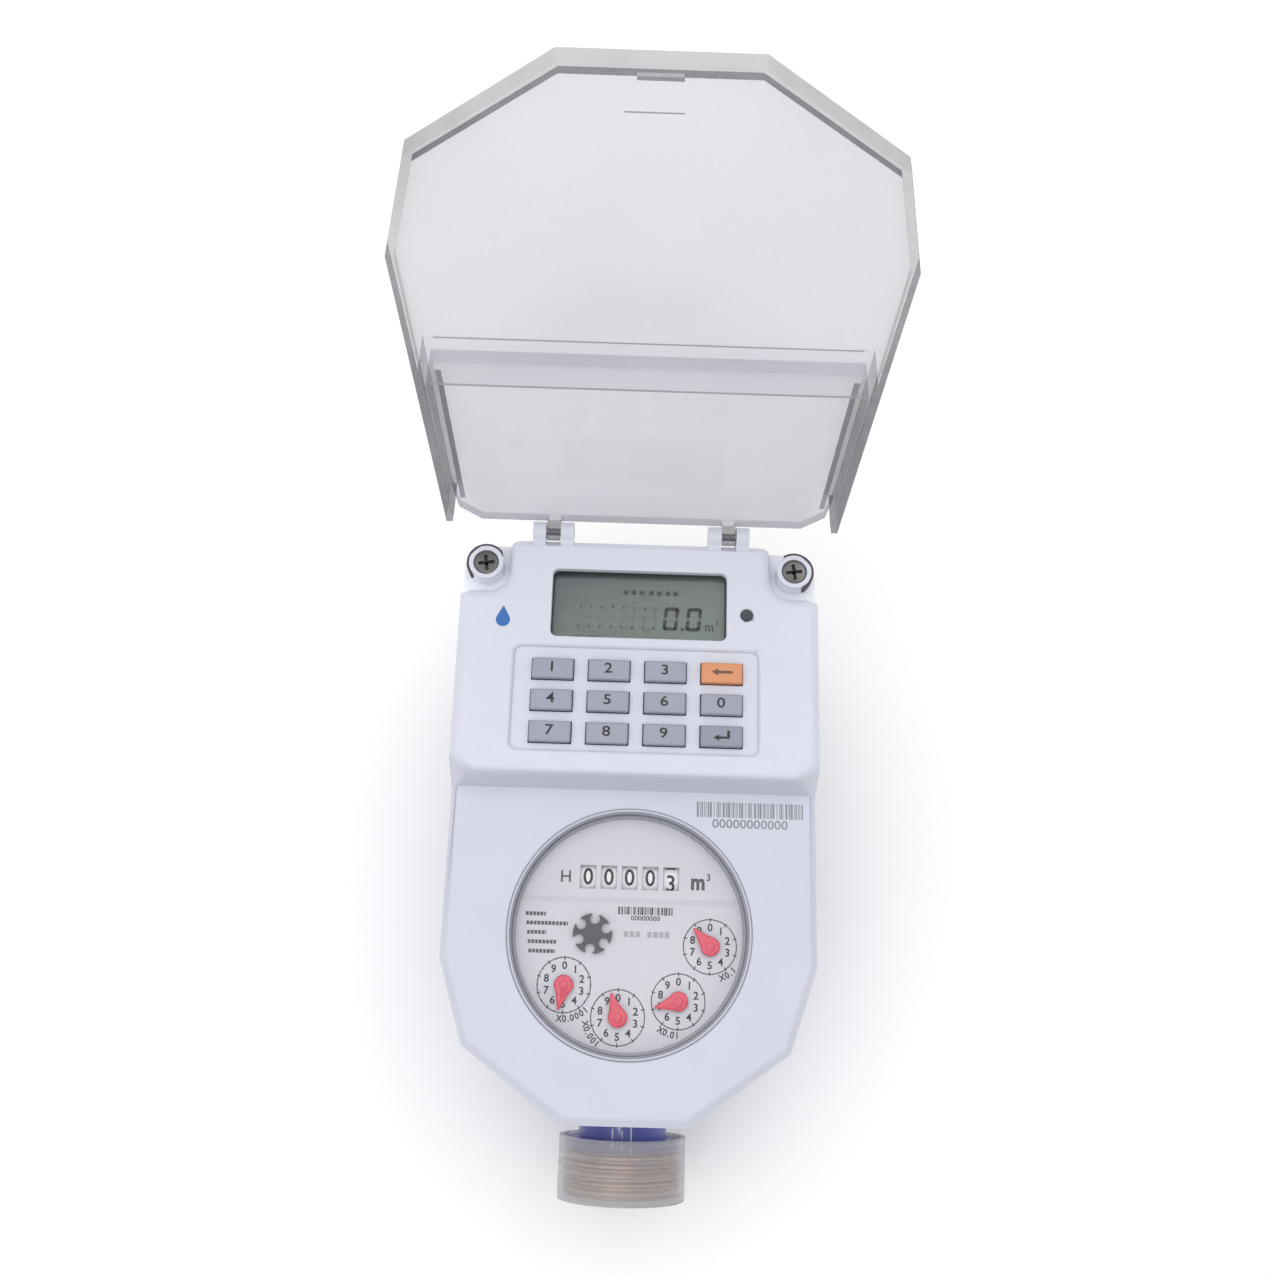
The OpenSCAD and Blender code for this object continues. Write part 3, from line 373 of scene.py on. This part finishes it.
MATERIALS = {
    "casting": casting(),
    "strainer": plastic("strainer_plastic", (0.75, 0.75, 0.68)),
    "cap": cap_plastic(),
    "wet": plastic("acetal_white", (0.78, 0.78, 0.75), 0.35),
    "rubber": plastic("nitrile_rubber", (0.02, 0.02, 0.02), 0.65, 1500),
    "brass": metal("machined_brass", (0.62, 0.42, 0.18)),
    "steel": metal("plated_steel", (0.60, 0.61, 0.63), 0.25),
    "can": metal("drawn_can", (0.62, 0.64, 0.66), 0.3),
    "bezel": bezel_plastic(),
    "glass": clear("register_glass", (0.5, 0.53, 0.55), 0.02),
    "dial": plastic("dial_print_white", (0.56, 0.565, 0.62), 0.38, 1900, 0.02),
    "frame": plastic("movement_acetal", (0.66, 0.67, 0.65), 0.4),
    "gear": plastic("gear_acetal", (0.78, 0.74, 0.56), 0.4),
    "star": plastic("star_grey", (0.052, 0.055, 0.072), 0.4, 1600),
    "pointer": pointer_plastic(),
    "drum": plastic("drum_white", (0.78, 0.78, 0.81), 0.4, 2200, 0.03),
    "valve": metal("valve_steel", (0.7, 0.71, 0.73), 0.12),
    "ptfe": plastic("ptfe", (0.86, 0.86, 0.84), 0.5),
    "motor": metal("motor_steel", (0.45, 0.46, 0.48), 0.35),
    "battery": plastic("battery_sleeve", (0.06, 0.28, 0.13), 0.25),
    "housing": housing_plastic(),
    "board": plastic("board_green", (0.02, 0.16, 0.07), 0.3, 1400),
    "lcd": lcd_surface(),
    "window": clear("display_window", (0.4, 0.43, 0.42), 0.02),
    "lens": plastic("sensor_lens", (0.035, 0.045, 0.05), 0.12, 900),
    "mat": plastic("silicone_mat", (0.34, 0.36, 0.4), 0.6, 1800),
    "key": plastic("key_grey", (0.30, 0.318, 0.385), 0.45, 2600, 0.06),
    "key_orange": plastic("key_orange", (0.66, 0.27, 0.125), 0.45, 2600, 0.06),
    "key_dark": plastic("key_dark", (0.26, 0.27, 0.335), 0.45, 2600, 0.06),
    "screw": metal("screw_steel", (0.22, 0.22, 0.215), 0.3, (1, 1, 1), 0.5),
    # Dark strip round the outer top of each screw boss
    "band": plastic("boss_dark_band", (0.055, 0.05, 0.058), 0.6, 1500, 0.3),
    "lid": lid_plastic(),
    "lid_edge": lid_edge(),
    "lid_wall": lid_wall(),
    "lid_ledge": lid_ledge(),
    "ink": plastic("black_ink_and_shade", (0.018, 0.018, 0.022), 0.5, 2000, 0.2),
    "ink_grey": plastic("ink_grey", (0.235, 0.235, 0.265), 0.5, 2000, 0.15),
    "ink_soft": plastic("ink_soft", (0.075, 0.075, 0.085), 0.5, 2000, 0.15),
    "ink_brown": plastic("ink_brown", (0.16, 0.07, 0.045), 0.5, 2000, 0.15),
    "ink_pale": plastic("ink_pale", (0.36, 0.365, 0.40), 0.5, 2000, 0.1),
    "dial_shade": plastic("dial_shade", (0.51, 0.515, 0.57), 0.38, 1900, 0.02),
    "ink_blue": plastic("ink_blue", (0.02, 0.13, 0.42), 0.45, 2000, 0.1),
    "segment": plastic("lcd_segment", (0.018, 0.021, 0.021), 0.3, 2000, 0.1),
    "segment_pale": plastic("lcd_ghost", (0.132, 0.158, 0.15), 0.3, 2000, 0.05),
}

NODE_LOOK = {
    "body_casting": "casting", "inlet_strainer": "strainer", "thread_cap": "cap",
    "chamber_cup": "wet", "chamber_cover": "wet", "impeller": "wet", "body_oring": "rubber",
    "lock_ring": "brass", "register_can": "can", "bezel_ring": "bezel", "register_glass": "glass",
    "dial_plate": "dial", "movement_frame": "frame", "magnet_arbor": "gear", "star_wheel": "star",
    "transfer_shaft": "gear", "drum_shaft": "steel", "valve_ball": "valve", "valve_stem": "valve",
    "valve_seats": "ptfe", "gland_nut": "brass", "gear_motor": "motor", "motor_pinion": "gear",
    "battery": "battery", "lower_housing": "housing", "upper_housing": "housing",
    "circuit_board": "board", "lcd_module": "lcd", "lcd_window": "window", "sensor_lens": "lens",
    "key_mat": "mat", "cover_screws": "screw", "boss_bands": "band", "hinge_pins": "steel",
    "clear_lid": "lid",
}
for name, o in nodes.items():
    if name.startswith("idler"):
        look = "gear"
    elif name.startswith("pointer"):
        look = "pointer"
    elif name.startswith("drum_") and name != "drum_shaft":
        look = "drum"
    elif name.startswith("key_") and name != "key_mat":
        look = {"key_back": "key_orange", "key_enter": "key_dark"}.get(name, "key")
    else:
        look = NODE_LOOK[name]
    o.data.materials.clear()
    o.data.materials.append(MATERIALS[look].mat)


# ------------------------------------------------------------ mesh helpers
def add_object(name, mesh, look, body, replaces=()):
    """Object with one look, or with several that the faces choose by their index."""
    looks = look if isinstance(look, tuple) else (look,)
    chosen = [p.material_index for p in mesh.polygons]
    mesh.materials.clear()
    for item in looks:
        mesh.materials.append(MATERIALS[item].mat)
    for p, index in zip(mesh.polygons, chosen):
        p.material_index = index if index < len(looks) else 0
    o = bpy.data.objects.new(name, mesh)
    scene.collection.objects.link(o)
    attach(o, body)
    if replaces:
        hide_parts(*replaces)
    return o


def whole_faces(mesh):
    """CAD mesh opened for editing, with its flat faces whole again."""
    bm = bmesh.new()
    bm.from_mesh(mesh)
    bmesh.ops.remove_doubles(bm, verts=bm.verts, dist=0.000002)
    bmesh.ops.dissolve_limit(bm, angle_limit=math.radians(0.6), verts=bm.verts, edges=bm.edges)
    return bm


def rounded(node, name, look, body, width, segments=2, weight=None, shoulder=None):
    """Stands for a CAD node with the same shape and softly rounded edges.

    weight gives each edge its share of the width from the edge's middle, in millimetres; without
    it every sharp edge is rounded and its faces take the second look. shoulder picks the edges
    that get one broad rounding first."""
    bm = whole_faces(nodes[node].data)
    if shoulder:
        test, broad = shoulder
        edges = [e for e in bm.edges if e.is_manifold and test(e)]
        bmesh.ops.bevel(bm, geom=edges, offset=broad * MM, offset_type="OFFSET", segments=5,
                        profile=0.5, affect="EDGES", clamp_overlap=False)
    if weight:
        layer = bm.edges.layers.float.get("bevel_weight_edge") or bm.edges.layers.float.new(
            "bevel_weight_edge")
        for e in bm.edges:
            if e.is_manifold and e.calc_face_angle(0) > math.radians(12):
                e[layer] = weight(e)
                e.smooth = e[layer] > 0 or e.calc_face_angle(0) < math.radians(24)
    for f in bm.faces:
        f.smooth = True
    mesh = bpy.data.meshes.new(name + "_clean")
    bm.to_mesh(mesh)
    bm.free()
    for item in ("lid", "lid_edge"):
        mesh.materials.append(MATERIALS[item].mat)
    o = bpy.data.objects.new(name, mesh)
    scene.collection.objects.link(o)
    b = o.modifiers.new("round", "BEVEL")
    b.width = width * MM
    b.segments = segments
    b.limit_method = "WEIGHT" if weight else "ANGLE"
    b.angle_limit = math.radians(28)
    b.use_clamp_overlap = not weight
    b.miter_outer = "MITER_ARC"
    b.material = -1 if weight else 1
    w = o.modifiers.new("normals", "WEIGHTED_NORMAL")
    w.keep_sharp = True
    done = bpy.data.meshes.new_from_object(o.evaluated_get(bpy.context.evaluated_depsgraph_get()))
    bpy.data.objects.remove(o)
    return add_object(name, done, look, body, (node,))


def closed_skin(name, bm, loops):
    """Mesh through a stack of outlines with the same number of points, closed at both ends."""
    n = len(loops[0])
    for a, b in zip(loops, loops[1:]):
        for i in range(n):
            bm.faces.new((a[i], a[(i + 1) % n], b[(i + 1) % n], b[i])).smooth = True
    bm.faces.new(list(reversed(loops[0])))
    bm.faces.new(loops[-1])
    mesh = bpy.data.meshes.new(name)
    bm.to_mesh(mesh)
    bm.free()
    return mesh


class Ink:
    """Thin closed prisms laid on one level: print, ticks and legends, and lines of painted shade."""

    def __init__(self, z, thick=0.03):
        self.z = z
        self.thick = thick
        self.bm = bmesh.new()

    def prism(self, points):
        low = [self.bm.verts.new((x * MM, y * MM, self.z * MM)) for x, y in points]
        high = [self.bm.verts.new((x * MM, y * MM, (self.z + self.thick) * MM)) for x, y in points]
        n = len(points)
        self.bm.faces.new(list(reversed(low)))
        self.bm.faces.new(high)
        for i in range(n):
            self.bm.faces.new((low[i], low[(i + 1) % n], high[(i + 1) % n], high[i]))

    def bar(self, x0, y0, x1, y1):
        self.prism([(x0, y0), (x1, y0), (x1, y1), (x0, y1)])

    def stroke(self, a, b, width):
        d = Vector((b[0] - a[0], b[1] - a[1]))
        n = Vector((-d.y, d.x)).normalized() * width / 2
        self.prism([(a[0] - n.x, a[1] - n.y), (b[0] - n.x, b[1] - n.y),
                    (b[0] + n.x, b[1] + n.y), (a[0] + n.x, a[1] + n.y)])

    def ring(self, centre, radius, width, steps=72):
        for i in range(steps):
            a, b = 2 * math.pi * i / steps, 2 * math.pi * (i + 1) / steps
            self.prism([(centre[0] + r * math.cos(t), centre[1] + r * math.sin(t)) for r, t in (
                (radius - width / 2, a), (radius + width / 2, a),
                (radius + width / 2, b), (radius - width / 2, b))])

    def text(self, words, place, size, turn=0, bold=0.0, stretch=1.0):
        c = bpy.data.curves.new("words", "FONT")
        c.body = words
        c.size = 1
        c.align_x = "CENTER"
        c.align_y = "CENTER"
        c.offset = bold
        c.resolution_u = 3
        c.extrude = 0.5
        o = bpy.data.objects.new("words", c)
        scene.collection.objects.link(o)
        mesh = bpy.data.meshes.new_from_object(
            o.evaluated_get(bpy.context.evaluated_depsgraph_get()))
        bpy.data.objects.remove(o)
        move = (Matrix.Translation((place[0] * MM, place[1] * MM, (self.z + self.thick / 2) * MM))
                @ Matrix.Rotation(math.radians(turn), 4, "Z")
                @ Matrix.Diagonal((size * stretch * MM, size * MM, self.thick * MM, 1)))
        mesh.transform(move)
        self.bm.from_mesh(mesh)

    def done(self, name, look, body, slot=None, move=None):
        bmesh.ops.remove_doubles(self.bm, verts=self.bm.verts, dist=0.0000005)
        mesh = bpy.data.meshes.new(name)
        self.bm.to_mesh(mesh)
        self.bm.free()
        if move is not None:
            mesh.transform(move)
        return add_object(name, mesh, look, body)


# ------------------------------------------------------------ housing and lid
def middle(e):
    return (e.verts[0].co + e.verts[1].co) / (2 * MM)


def pocket_lip(e):
    """Upper border of the open corners over the screws."""
    m = middle(e)
    away = math.hypot(abs(m.x) - BOSS[0], m.y - BOSS[1])
    return (abs(m.x) > POCKET[0] - 0.1 and POCKET[1] - 0.1 < m.y < 108 and away > 5.4
            and min(v.co.z for v in e.verts) > 0.0903 and e.calc_face_angle(0) > 0.4)


def top_weight(e):
    m = middle(e)
    upright = abs(e.verts[0].co.z - e.verts[1].co.z) > 0.006
    step = 36.5 < m.y < 45.5 and m.z > FACE - 0.05
    if not e.is_convex:
        return 0.4 if step and m.z < FACE + 0.05 and abs(m.x) < 49 else 0.0
    if abs(m.x) > POCKET[0] - 5 and m.y > POCKET[1] - 5:
        return 0.0
    if m.y > 105 and abs(m.x) < 32:
        return 0.0
    if step:
        return 0.75 if m.z > KEYS - 0.05 else 0.0
    if upright:
        return 0.4 if m.y > 100 else 0.0
    if m.z > KEYS - 0.05:
        if abs(m.x) < 24.7 and 79 < m.y < 99.2:
            return 0.15
        return 0.55 if abs(m.x) < 35 and 46.5 < m.y < 76.6 else 0.35
    if 90.2 < m.z < 90.6:
        return 0.35
    if m.y < 45 and m.z > FACE - 0.05:
        return 0.3
    return 0.0


def base_weight(e):
    m = middle(e)
    outer = abs(m.x) > 49.5 or m.y > 106.5 or m.y < -30 or m.y < -7 and abs(m.x) > 30
    return 1.0 if outer and m.z < 59 and e.is_convex else 0.0


rounded("upper_housing", "housing_top", "housing", "meter", 2.0, 4,
        top_weight, (pocket_lip, 3.4))
rounded("lower_housing", "housing_base", "housing", "meter", 0.5, 2, base_weight)

# Faces of the lid by place: rims and corners, side walls, the step, hinge knuckles
lid = rounded("clear_lid", "lid_shell", ("lid", "lid_edge", "lid_wall", "lid_ledge"), "lid",
              0.36, 2)
open_turn = Matrix.Rotation(math.radians(LID_OPEN), 3, "X")
hinge = Vector((0, HINGE[0], HINGE[1]))
for p in lid.data.polygons:
    c = p.center / MM
    flat = open_turn @ (c - hinge) + hinge
    n = open_turn @ p.normal
    if abs(abs(c.x) - KNUCKLE_X) < 2.2 and math.hypot(c.y - HINGE[0], c.z - HINGE[1]) < 5.2:
        p.material_index = 2
    elif p.material_index == 1:
        if abs(flat.y - STEP_OUTSIDE) < 0.8 and abs(c.x) < 50:
            p.material_index = 3
    elif n.z > 0.9:
        p.material_index = 3
    elif abs(n.z) < 0.5 or flat.z < FACE + 0.3:
        p.material_index = 3 if 33 < flat.y < 38 and abs(n.y) > 0.9 else 2

# ------------------------------------------------------------ keys
KEY_X = [-23.4, -7.8, 7.8, 23.4]
KEY_Y = [69.7, 60.8, 51.9]
KEY_NAMES = [["key_1", "key_2", "key_3", "key_back"], ["key_4", "key_5", "key_6", "key_0"],
             ["key_7", "key_8", "key_9", "key_enter"]]


def key_cap(x, y):
    """Tapered key with round corners and a slightly dished top."""
    bm = bmesh.new()
    w, h = 11.4, 5.8
    # Height above the platform, inset from the outline and corner radius of each ring
    rings = [(-3.0, 0.0, 0.5), (0.1, 0.0, 0.5), (0.45, 0.06, 0.55), (0.68, 0.2, 0.6),
             (0.78, 0.42, 0.6), (0.8, 0.75, 0.6), (0.74, 1.3, 0.5)]
    loops = []
    for z, inset, r in rings:
        loop = []
        for cx, cy, start in ((1, 1, 0), (-1, 1, 90), (-1, -1, 180), (1, -1, 270)):
            for i in range(7):
                corner = (x + cx * (w / 2 - inset - r), y + cy * (h / 2 - inset - r))
                px, py = polar(corner, r, start + i * 15)
                loop.append(bm.verts.new((px * MM, py * MM, (KEYS + z) * MM)))
        loops.append(loop)
    return closed_skin("key", bm, loops)


for r, row in enumerate(KEY_NAMES):
    for c, name in enumerate(row):
        x, y = KEY_X[c], KEY_Y[r]
        look, slot = {"key_back": ("key_orange", "key_orange"),
                      "key_enter": ("key_dark", "key_dark")}.get(name, ("key", "key_grey"))
        add_object(name + "_cap", key_cap(x, y), look, name, (name,))
        ink = Ink(KEYS + 0.745, 0.06)
        if name == "key_back":
            ink.stroke((x - 1.2, y + 0.2), (x + 2.9, y + 0.2), 0.75)
            ink.prism([(x - 2.9, y + 0.2), (x - 1.1, y - 0.8), (x - 1.1, y + 1.2)])
        elif name == "key_enter":
            ink.stroke((x - 0.9, y - 0.45), (x + 2.2, y - 0.45), 0.6)
            ink.stroke((x + 1.9, y - 0.2), (x + 1.9, y + 1.5), 0.75)
            ink.prism([(x - 2.2, y - 0.45), (x - 0.7, y - 1.3), (x - 0.7, y + 0.4)])
        else:
            ink.text(name[-1], (x - 0.2, y + 0.25), 4.0, bold=0.012, stretch=1.2)
        ink.done(name + "_legend", "ink_brown" if name == "key_back" else "ink", name)

# ------------------------------------------------------------ dial print
def arc_text(ink, words, centre, radius, start, end, size):
    """Characters along an arc, tops towards its centre, between two compass angles."""
    wide = [0.5 if letter == "." else 1.0 for letter in words]
    total = sum(wide) - (wide[0] + wide[-1]) / 2
    run = 0
    for i, letter in enumerate(words):
        a = start + (end - start) * run / total
        ink.text(letter, polar(centre, radius, a), size, a + 90, bold=0.022, stretch=0.92)
        if i + 1 < len(words):
            run += (wide[i] + wide[i + 1]) / 2


black = Ink(DIAL)
soft = Ink(DIAL)
for k, p in enumerate(POINTERS):
    black.ring(p, 7.2, 0.26)
    ticks = 20 if k == 3 else 10
    for i in range(ticks):
        r0, r1 = (6.5, 7.6) if ticks == 10 or i % 2 == 0 else (6.85, 7.2)
        a = 90 - i * 360 / ticks
        black.stroke(polar(p, r0, a), polar(p, r1, a), 0.26)
    for i in range(10):
        black.text(str(i), polar(p, 5.0, 90 - i * 36), 2.85, bold=0.022)
for k, (words, start, end) in enumerate((("X0.1", -67, -43), ("X0.01", -122, -91),
                                         ("X0.001", -168, -128), ("X0.0001", -96, -46))):
    arc_text(black, words, POINTERS[k], 8.75, start, end, 2.45)
soft.text("H", (-17.9, 14.6), 4.5, bold=0.012, stretch=1.02)
soft.text("m", (18.5, 14.0), 6.0, bold=0.04, stretch=0.86)
soft.text("3", (21.4, 15.4), 2.7, bold=0.02)
# Grey frames round the drum windows
frames = Ink(DIAL)
for x in DRUM_X:
    for sx in (-1, 1):
        frames.bar(x + sx * 2.17 - 0.06, DRUM[0] - 3.2, x + sx * 2.17 + 0.06, DRUM[0] + 3.2)
    for sy in (-1, 1):
        frames.bar(x - 2.2, DRUM[0] + sy * 3.17 - 0.05, x + 2.2, DRUM[0] + sy * 3.17 + 0.05)
frames.done("window_frames", "ink_pale", "meter", "dial_white")
# Plain bars where the real dial has its printed data
for i, width in enumerate((5.6, 11.4, 5.3, 7.9, 7.3)):
    y = 4.5 - i * 2.47
    x = -28.4 + 0.3 * i
    while width > 0:
        run = min(width, 1.0)
        soft.bar(x, y - 0.5, x + run * 0.78, y + 0.5)
        x += 1.0
        width -= 1.0


def stripes(ink, x0, x1, y0, y1, count):
    """Bar pattern that carries no data."""
    pattern = (3, 1, 2, 1, 1, 2, 3, 1, 1, 2, 1, 3, 2)
    unit = (x1 - x0) / (count * 3.55)
    x, i = x0, 0
    while x < x1 - unit:
        w = unit * pattern[i % len(pattern)]
        ink.bar(x, y0, min(x + w, x1), y1)
        x += w + unit * pattern[(i * 5 + 2) % len(pattern)]
        i += 1


stripes(black, -3.2, 11.8, 4.9, 7.0, 30)
black.text("00000000", (4.3, 3.95), 1.75, bold=0.012, stretch=1.15)
black.done("dial_print", "ink", "meter", "dial_white")
soft.done("dial_print_soft", "ink_soft", "meter", "dial_white")
pale = Ink(DIAL)
for i in range(8):
    if i != 3:
        pale.bar(-1.5 + i * 1.6, -1.1, -0.3 + i * 1.6, 0.5)
pale.done("dial_print_pale", "ink_pale", "meter", "dial_white")
# Painted shadow: darker bars under the number row and round the data panel, for the shade of a raised
# strip
shade = Ink(DIAL, 0.02)
shade.bar(-29.2, 7.7, 29.2, 9.4)
for x0, y0, x1, y1 in ((-4.3, 2.7, 12.6, 2.85), (-4.3, 2.7, -4.15, 7.7), (12.45, 2.7, 12.6, 7.7)):
    shade.bar(x0, y0, x1, y1)
shade.done("dial_step_shadow", "dial_shade", "meter", "dial_white")

# ------------------------------------------------------------ drum digits
y0, z0, radius = DRUM
for i, x in enumerate(DRUM_X):
    bm = bmesh.new()
    reading = (0, 0, 0, 0, 2.78)[i]
    for digit in range(10):
        ink = Ink(0, 0.03)
        ink.text(str(digit), (0, 0), 6.3, bold=0.014, stretch=0.92)
        for cut in range(-6, 7):
            bmesh.ops.bisect_plane(ink.bm, geom=ink.bm.verts[:] + ink.bm.edges[:] + ink.bm.faces[:],
                                   plane_co=(0, cut * 0.35 * MM, 0), plane_no=(0, 1, 0))
        for v in ink.bm.verts:
            # Digits run on from the last as the drum turns over the top
            a = v.co.y / (radius * MM) + math.radians(36 * (reading - digit))
            r = radius * MM + v.co.z
            v.co = Vector((x * MM + v.co.x, y0 * MM + r * math.sin(a), z0 * MM + r * math.cos(a)))
        mesh = bpy.data.meshes.new("digit")
        ink.bm.to_mesh(mesh)
        ink.bm.free()
        bm.from_mesh(mesh)
    mesh = bpy.data.meshes.new("digits")
    bm.to_mesh(mesh)
    bm.free()
    add_object("drum_%d_digits" % (i + 1), mesh, "ink", "drum_%d" % (i + 1))


# ------------------------------------------------------------ pointers
def pointer_dome(centre, turn):
    """Domed red cap over the flat pointer, with a raised middle."""
    bm = bmesh.new()
    outline = []
    hub, steps = 2.6, 40
    for i in range(steps + 1):
        outline.append(polar((0, 0), hub, 125 + 290 * i / steps))
    outline.append((0.28, 6.5))
    outline.append((-0.28, 6.5))
    levels = [(1.0, 1.05), (0.98, 1.18), (0.93, 1.28), (0.8, 1.34), (0.5, 1.38)]
    loops = []
    for s, z in levels:
        loops.append([bm.verts.new((px * s, py * (s if py < 2.6 else 0.5 + 0.5 * s), z))
                      for px, py in outline])
    for ring, z in ((1.15, 1.40), (1.05, 1.5), (0.8, 1.53)):
        loop = []
        for px, py in outline:
            a = math.atan2(py, px)
            loop.append(bm.verts.new((ring * math.cos(a), ring * math.sin(a), z)))
        loops.append(loop)
    mesh = closed_skin("pointer", bm, loops)
    mesh.transform(Matrix.Translation((centre[0] * MM, centre[1] * MM, (DIAL + 0.55) * MM))
                   @ Matrix.Rotation(math.radians(turn), 4, "Z") @ Matrix.Scale(MM, 4))
    return mesh


for p, turn, body in zip(POINTERS, TURNS, POINTER_BODIES):
    add_object(body + "_dome", pointer_dome(p, turn), "pointer", body)


# ------------------------------------------------------------ display
def seven(ink, digit, x, y, w, h, t):
    """Seven-segment digit with its middle at x, y."""
    on = {"0": "abcdef", "8": "abcdefg"}[digit]
    gap, slant = 0.18, 0.09

    def place(points):
        ink.prism([(x + px + slant * py, y + py) for px, py in points])

    a, b = w / 2, h / 2
    for s in on:
        if s in "agd":
            cy = {"a": b - t / 2, "g": 0, "d": -b + t / 2}[s]
            place([(-a + gap + t / 2, cy - t / 2), (a - gap - t / 2, cy - t / 2), (a - gap, cy),
                   (a - gap - t / 2, cy + t / 2), (-a + gap + t / 2, cy + t / 2), (-a + gap, cy)])
        else:
            cx = -a + t / 2 if s in "fe" else a - t / 2
            top = s in "fb"
            lo, hi = (gap / 2, b - gap) if top else (-b + gap, -gap / 2)
            place([(cx, lo), (cx + t / 2, lo + t / 2), (cx + t / 2, hi - t / 2), (cx, hi),
                   (cx - t / 2, hi - t / 2), (cx - t / 2, lo + t / 2)])


shown = Ink(LCD_TOP, 0.04)
ghost = Ink(LCD_TOP, 0.02)
for i in range(6):
    x = 15.6 - i * 6.1
    if i < 2:
        seven(shown, "0", x - (0.4 if i else 0), 86.3, 4.3, 7.0, 1.05)
    else:
        seven(ghost, "8", x - 0.4, 86.3, 4.1, 6.9, 0.8)
shown.bar(12.0, 82.9, 12.8, 83.7)
shown.text("m", (20.0, 84.2), 3.8, bold=0.01, stretch=0.9)
shown.text("3", (22.2, 85.6), 1.9)
# Plain bars in place of the worded labels
for i in range(7):
    shown.bar(-4.6 + i * 2.3 + 0.4 * (i > 2), 93.2, -3.2 + i * 2.3 + 0.4 * (i > 2), 94.5)
for i in range(5):
    shown.bar(-17.6 + i * 1.6, 79.9, -16.7 + i * 1.6, 80.6)
shown.done("lcd_figures", "segment", "meter", "lcd_grey")
ghost.done("lcd_unlit", "segment_pale", "meter", "lcd_grey")

# Painted shade: a thin dark ring where the display meets its opening, standing for the shade of the
# recess wall
rim_shade = Ink(90.05, 0.25)
inner, outer = 1.5, 1.78
outline = []
for corner, start in (((22.8, 97.25), 0), ((-22.8, 97.25), 90), ((-22.8, 80.95), 180),
                      ((22.8, 80.95), 270)):
    outline += [(corner, start + i * 15) for i in range(7)]
for a, b in zip(outline, outline[1:] + outline[:1]):
    rim_shade.prism([polar(a[0], inner, a[1]), polar(a[0], outer, a[1]),
               polar(b[0], outer, b[1]), polar(b[0], inner, b[1])])
rim_shade.done("lcd_rim_shade", "ink", "meter", "lcd_grey")

# ------------------------------------------------------------ marks on the housing
mark = Ink(FACE)
stripes(mark, 17.6, 47.0, 31.4, 35.6, 44)
mark.done("housing_bars", "ink_grey", "meter", "housing_white")
row = Ink(FACE)
row.text("00000000000", (32.3, 29.6), 3.4, bold=0.01, stretch=1.12)
row.done("housing_number", "ink_grey", "meter", "housing_white")
drop = Ink(KEYS)
drop.prism([polar((-38, 83.4), 2.0, a) for a in range(150, 391, 12)] + [(-38.0, 87.6)])
drop.done("drop_mark", "ink_blue", "meter", "housing_white")

# ------------------------------------------------------------ screws and lid details
# Painted shade: a black cross on each screw head stands for its shaded cross recess
cross_shade = Ink(89.82, 0.25)
rims = Ink(90.91, 0.06)
for side in (-1, 1):
    at = Vector((side * BOSS[0], BOSS[1]))
    for turn in (8, 98):
        d = Vector(polar((0, 0), 1, turn))
        cross_shade.stroke(at - d * 2.2, at + d * 2.2, 0.9)
    rims.ring(at, 3.3, 0.3, 48)
cross_shade.done("screw_cross_shade", "ink", "meter", "screw_steel")
rims.done("screw_edge", "ink_soft", "meter", "screw_steel")

# Lines on the lid, drawn on it closed and then swung open with it
fold = Ink(86.22, 0.04)
fold.bar(-6.1, -38.1, 4.5, -37.8)
# Painted shade: grey strips on the panel's inner face along the foot of each side wall
wall_shade_lines = Ink(94.2, 0.08)
for side in (-1, 1):
    wall_shade_lines.prism([(side * x, y) for x, y in (
        (49.5, 44), (50.9, 44), (50.9, 99), (49.5, 99))[::side]])
# Painted shade: grey lines just inside and just outside the step, for the dark edges of the step
near = Ink(83.8, 0.08)
near.bar(-STEP_HALF, STEP_INSIDE - 0.7, STEP_HALF, STEP_INSIDE - 0.1)
far = Ink(96.3, 0.1)
far.bar(-STEP_HALF, STEP_OUTSIDE + 0.3, STEP_HALF, STEP_OUTSIDE + 0.7)
swing = (Matrix.Translation(hinge * MM) @ Matrix.Rotation(math.radians(-LID_OPEN), 4, "X")
         @ Matrix.Translation(-hinge * MM))
for ink, name in ((fold, "lid_line"), (wall_shade_lines, "lid_creases"), (near, "lid_step_near"),
                  (far, "lid_step_far")):
    ink.done(name, "ink_pale", "lid", "lid_clear", swing)

# ------------------------------------------------------------ floor
floor = bpy.data.meshes.new("floor")
bm = bmesh.new()
bmesh.ops.create_grid(bm, x_segments=2, y_segments=2, size=6.0)
bm.to_mesh(floor)
bm.free()
floor_look = Shader("floor_paper", (0.93, 0.93, 0.93), 0.9).mottled(3, 0.01)
floor.materials.append(floor_look.mat)
ground = bpy.data.objects.new("floor", floor)
ground.location = (0, 0, -0.0005)
scene.collection.objects.link(ground)
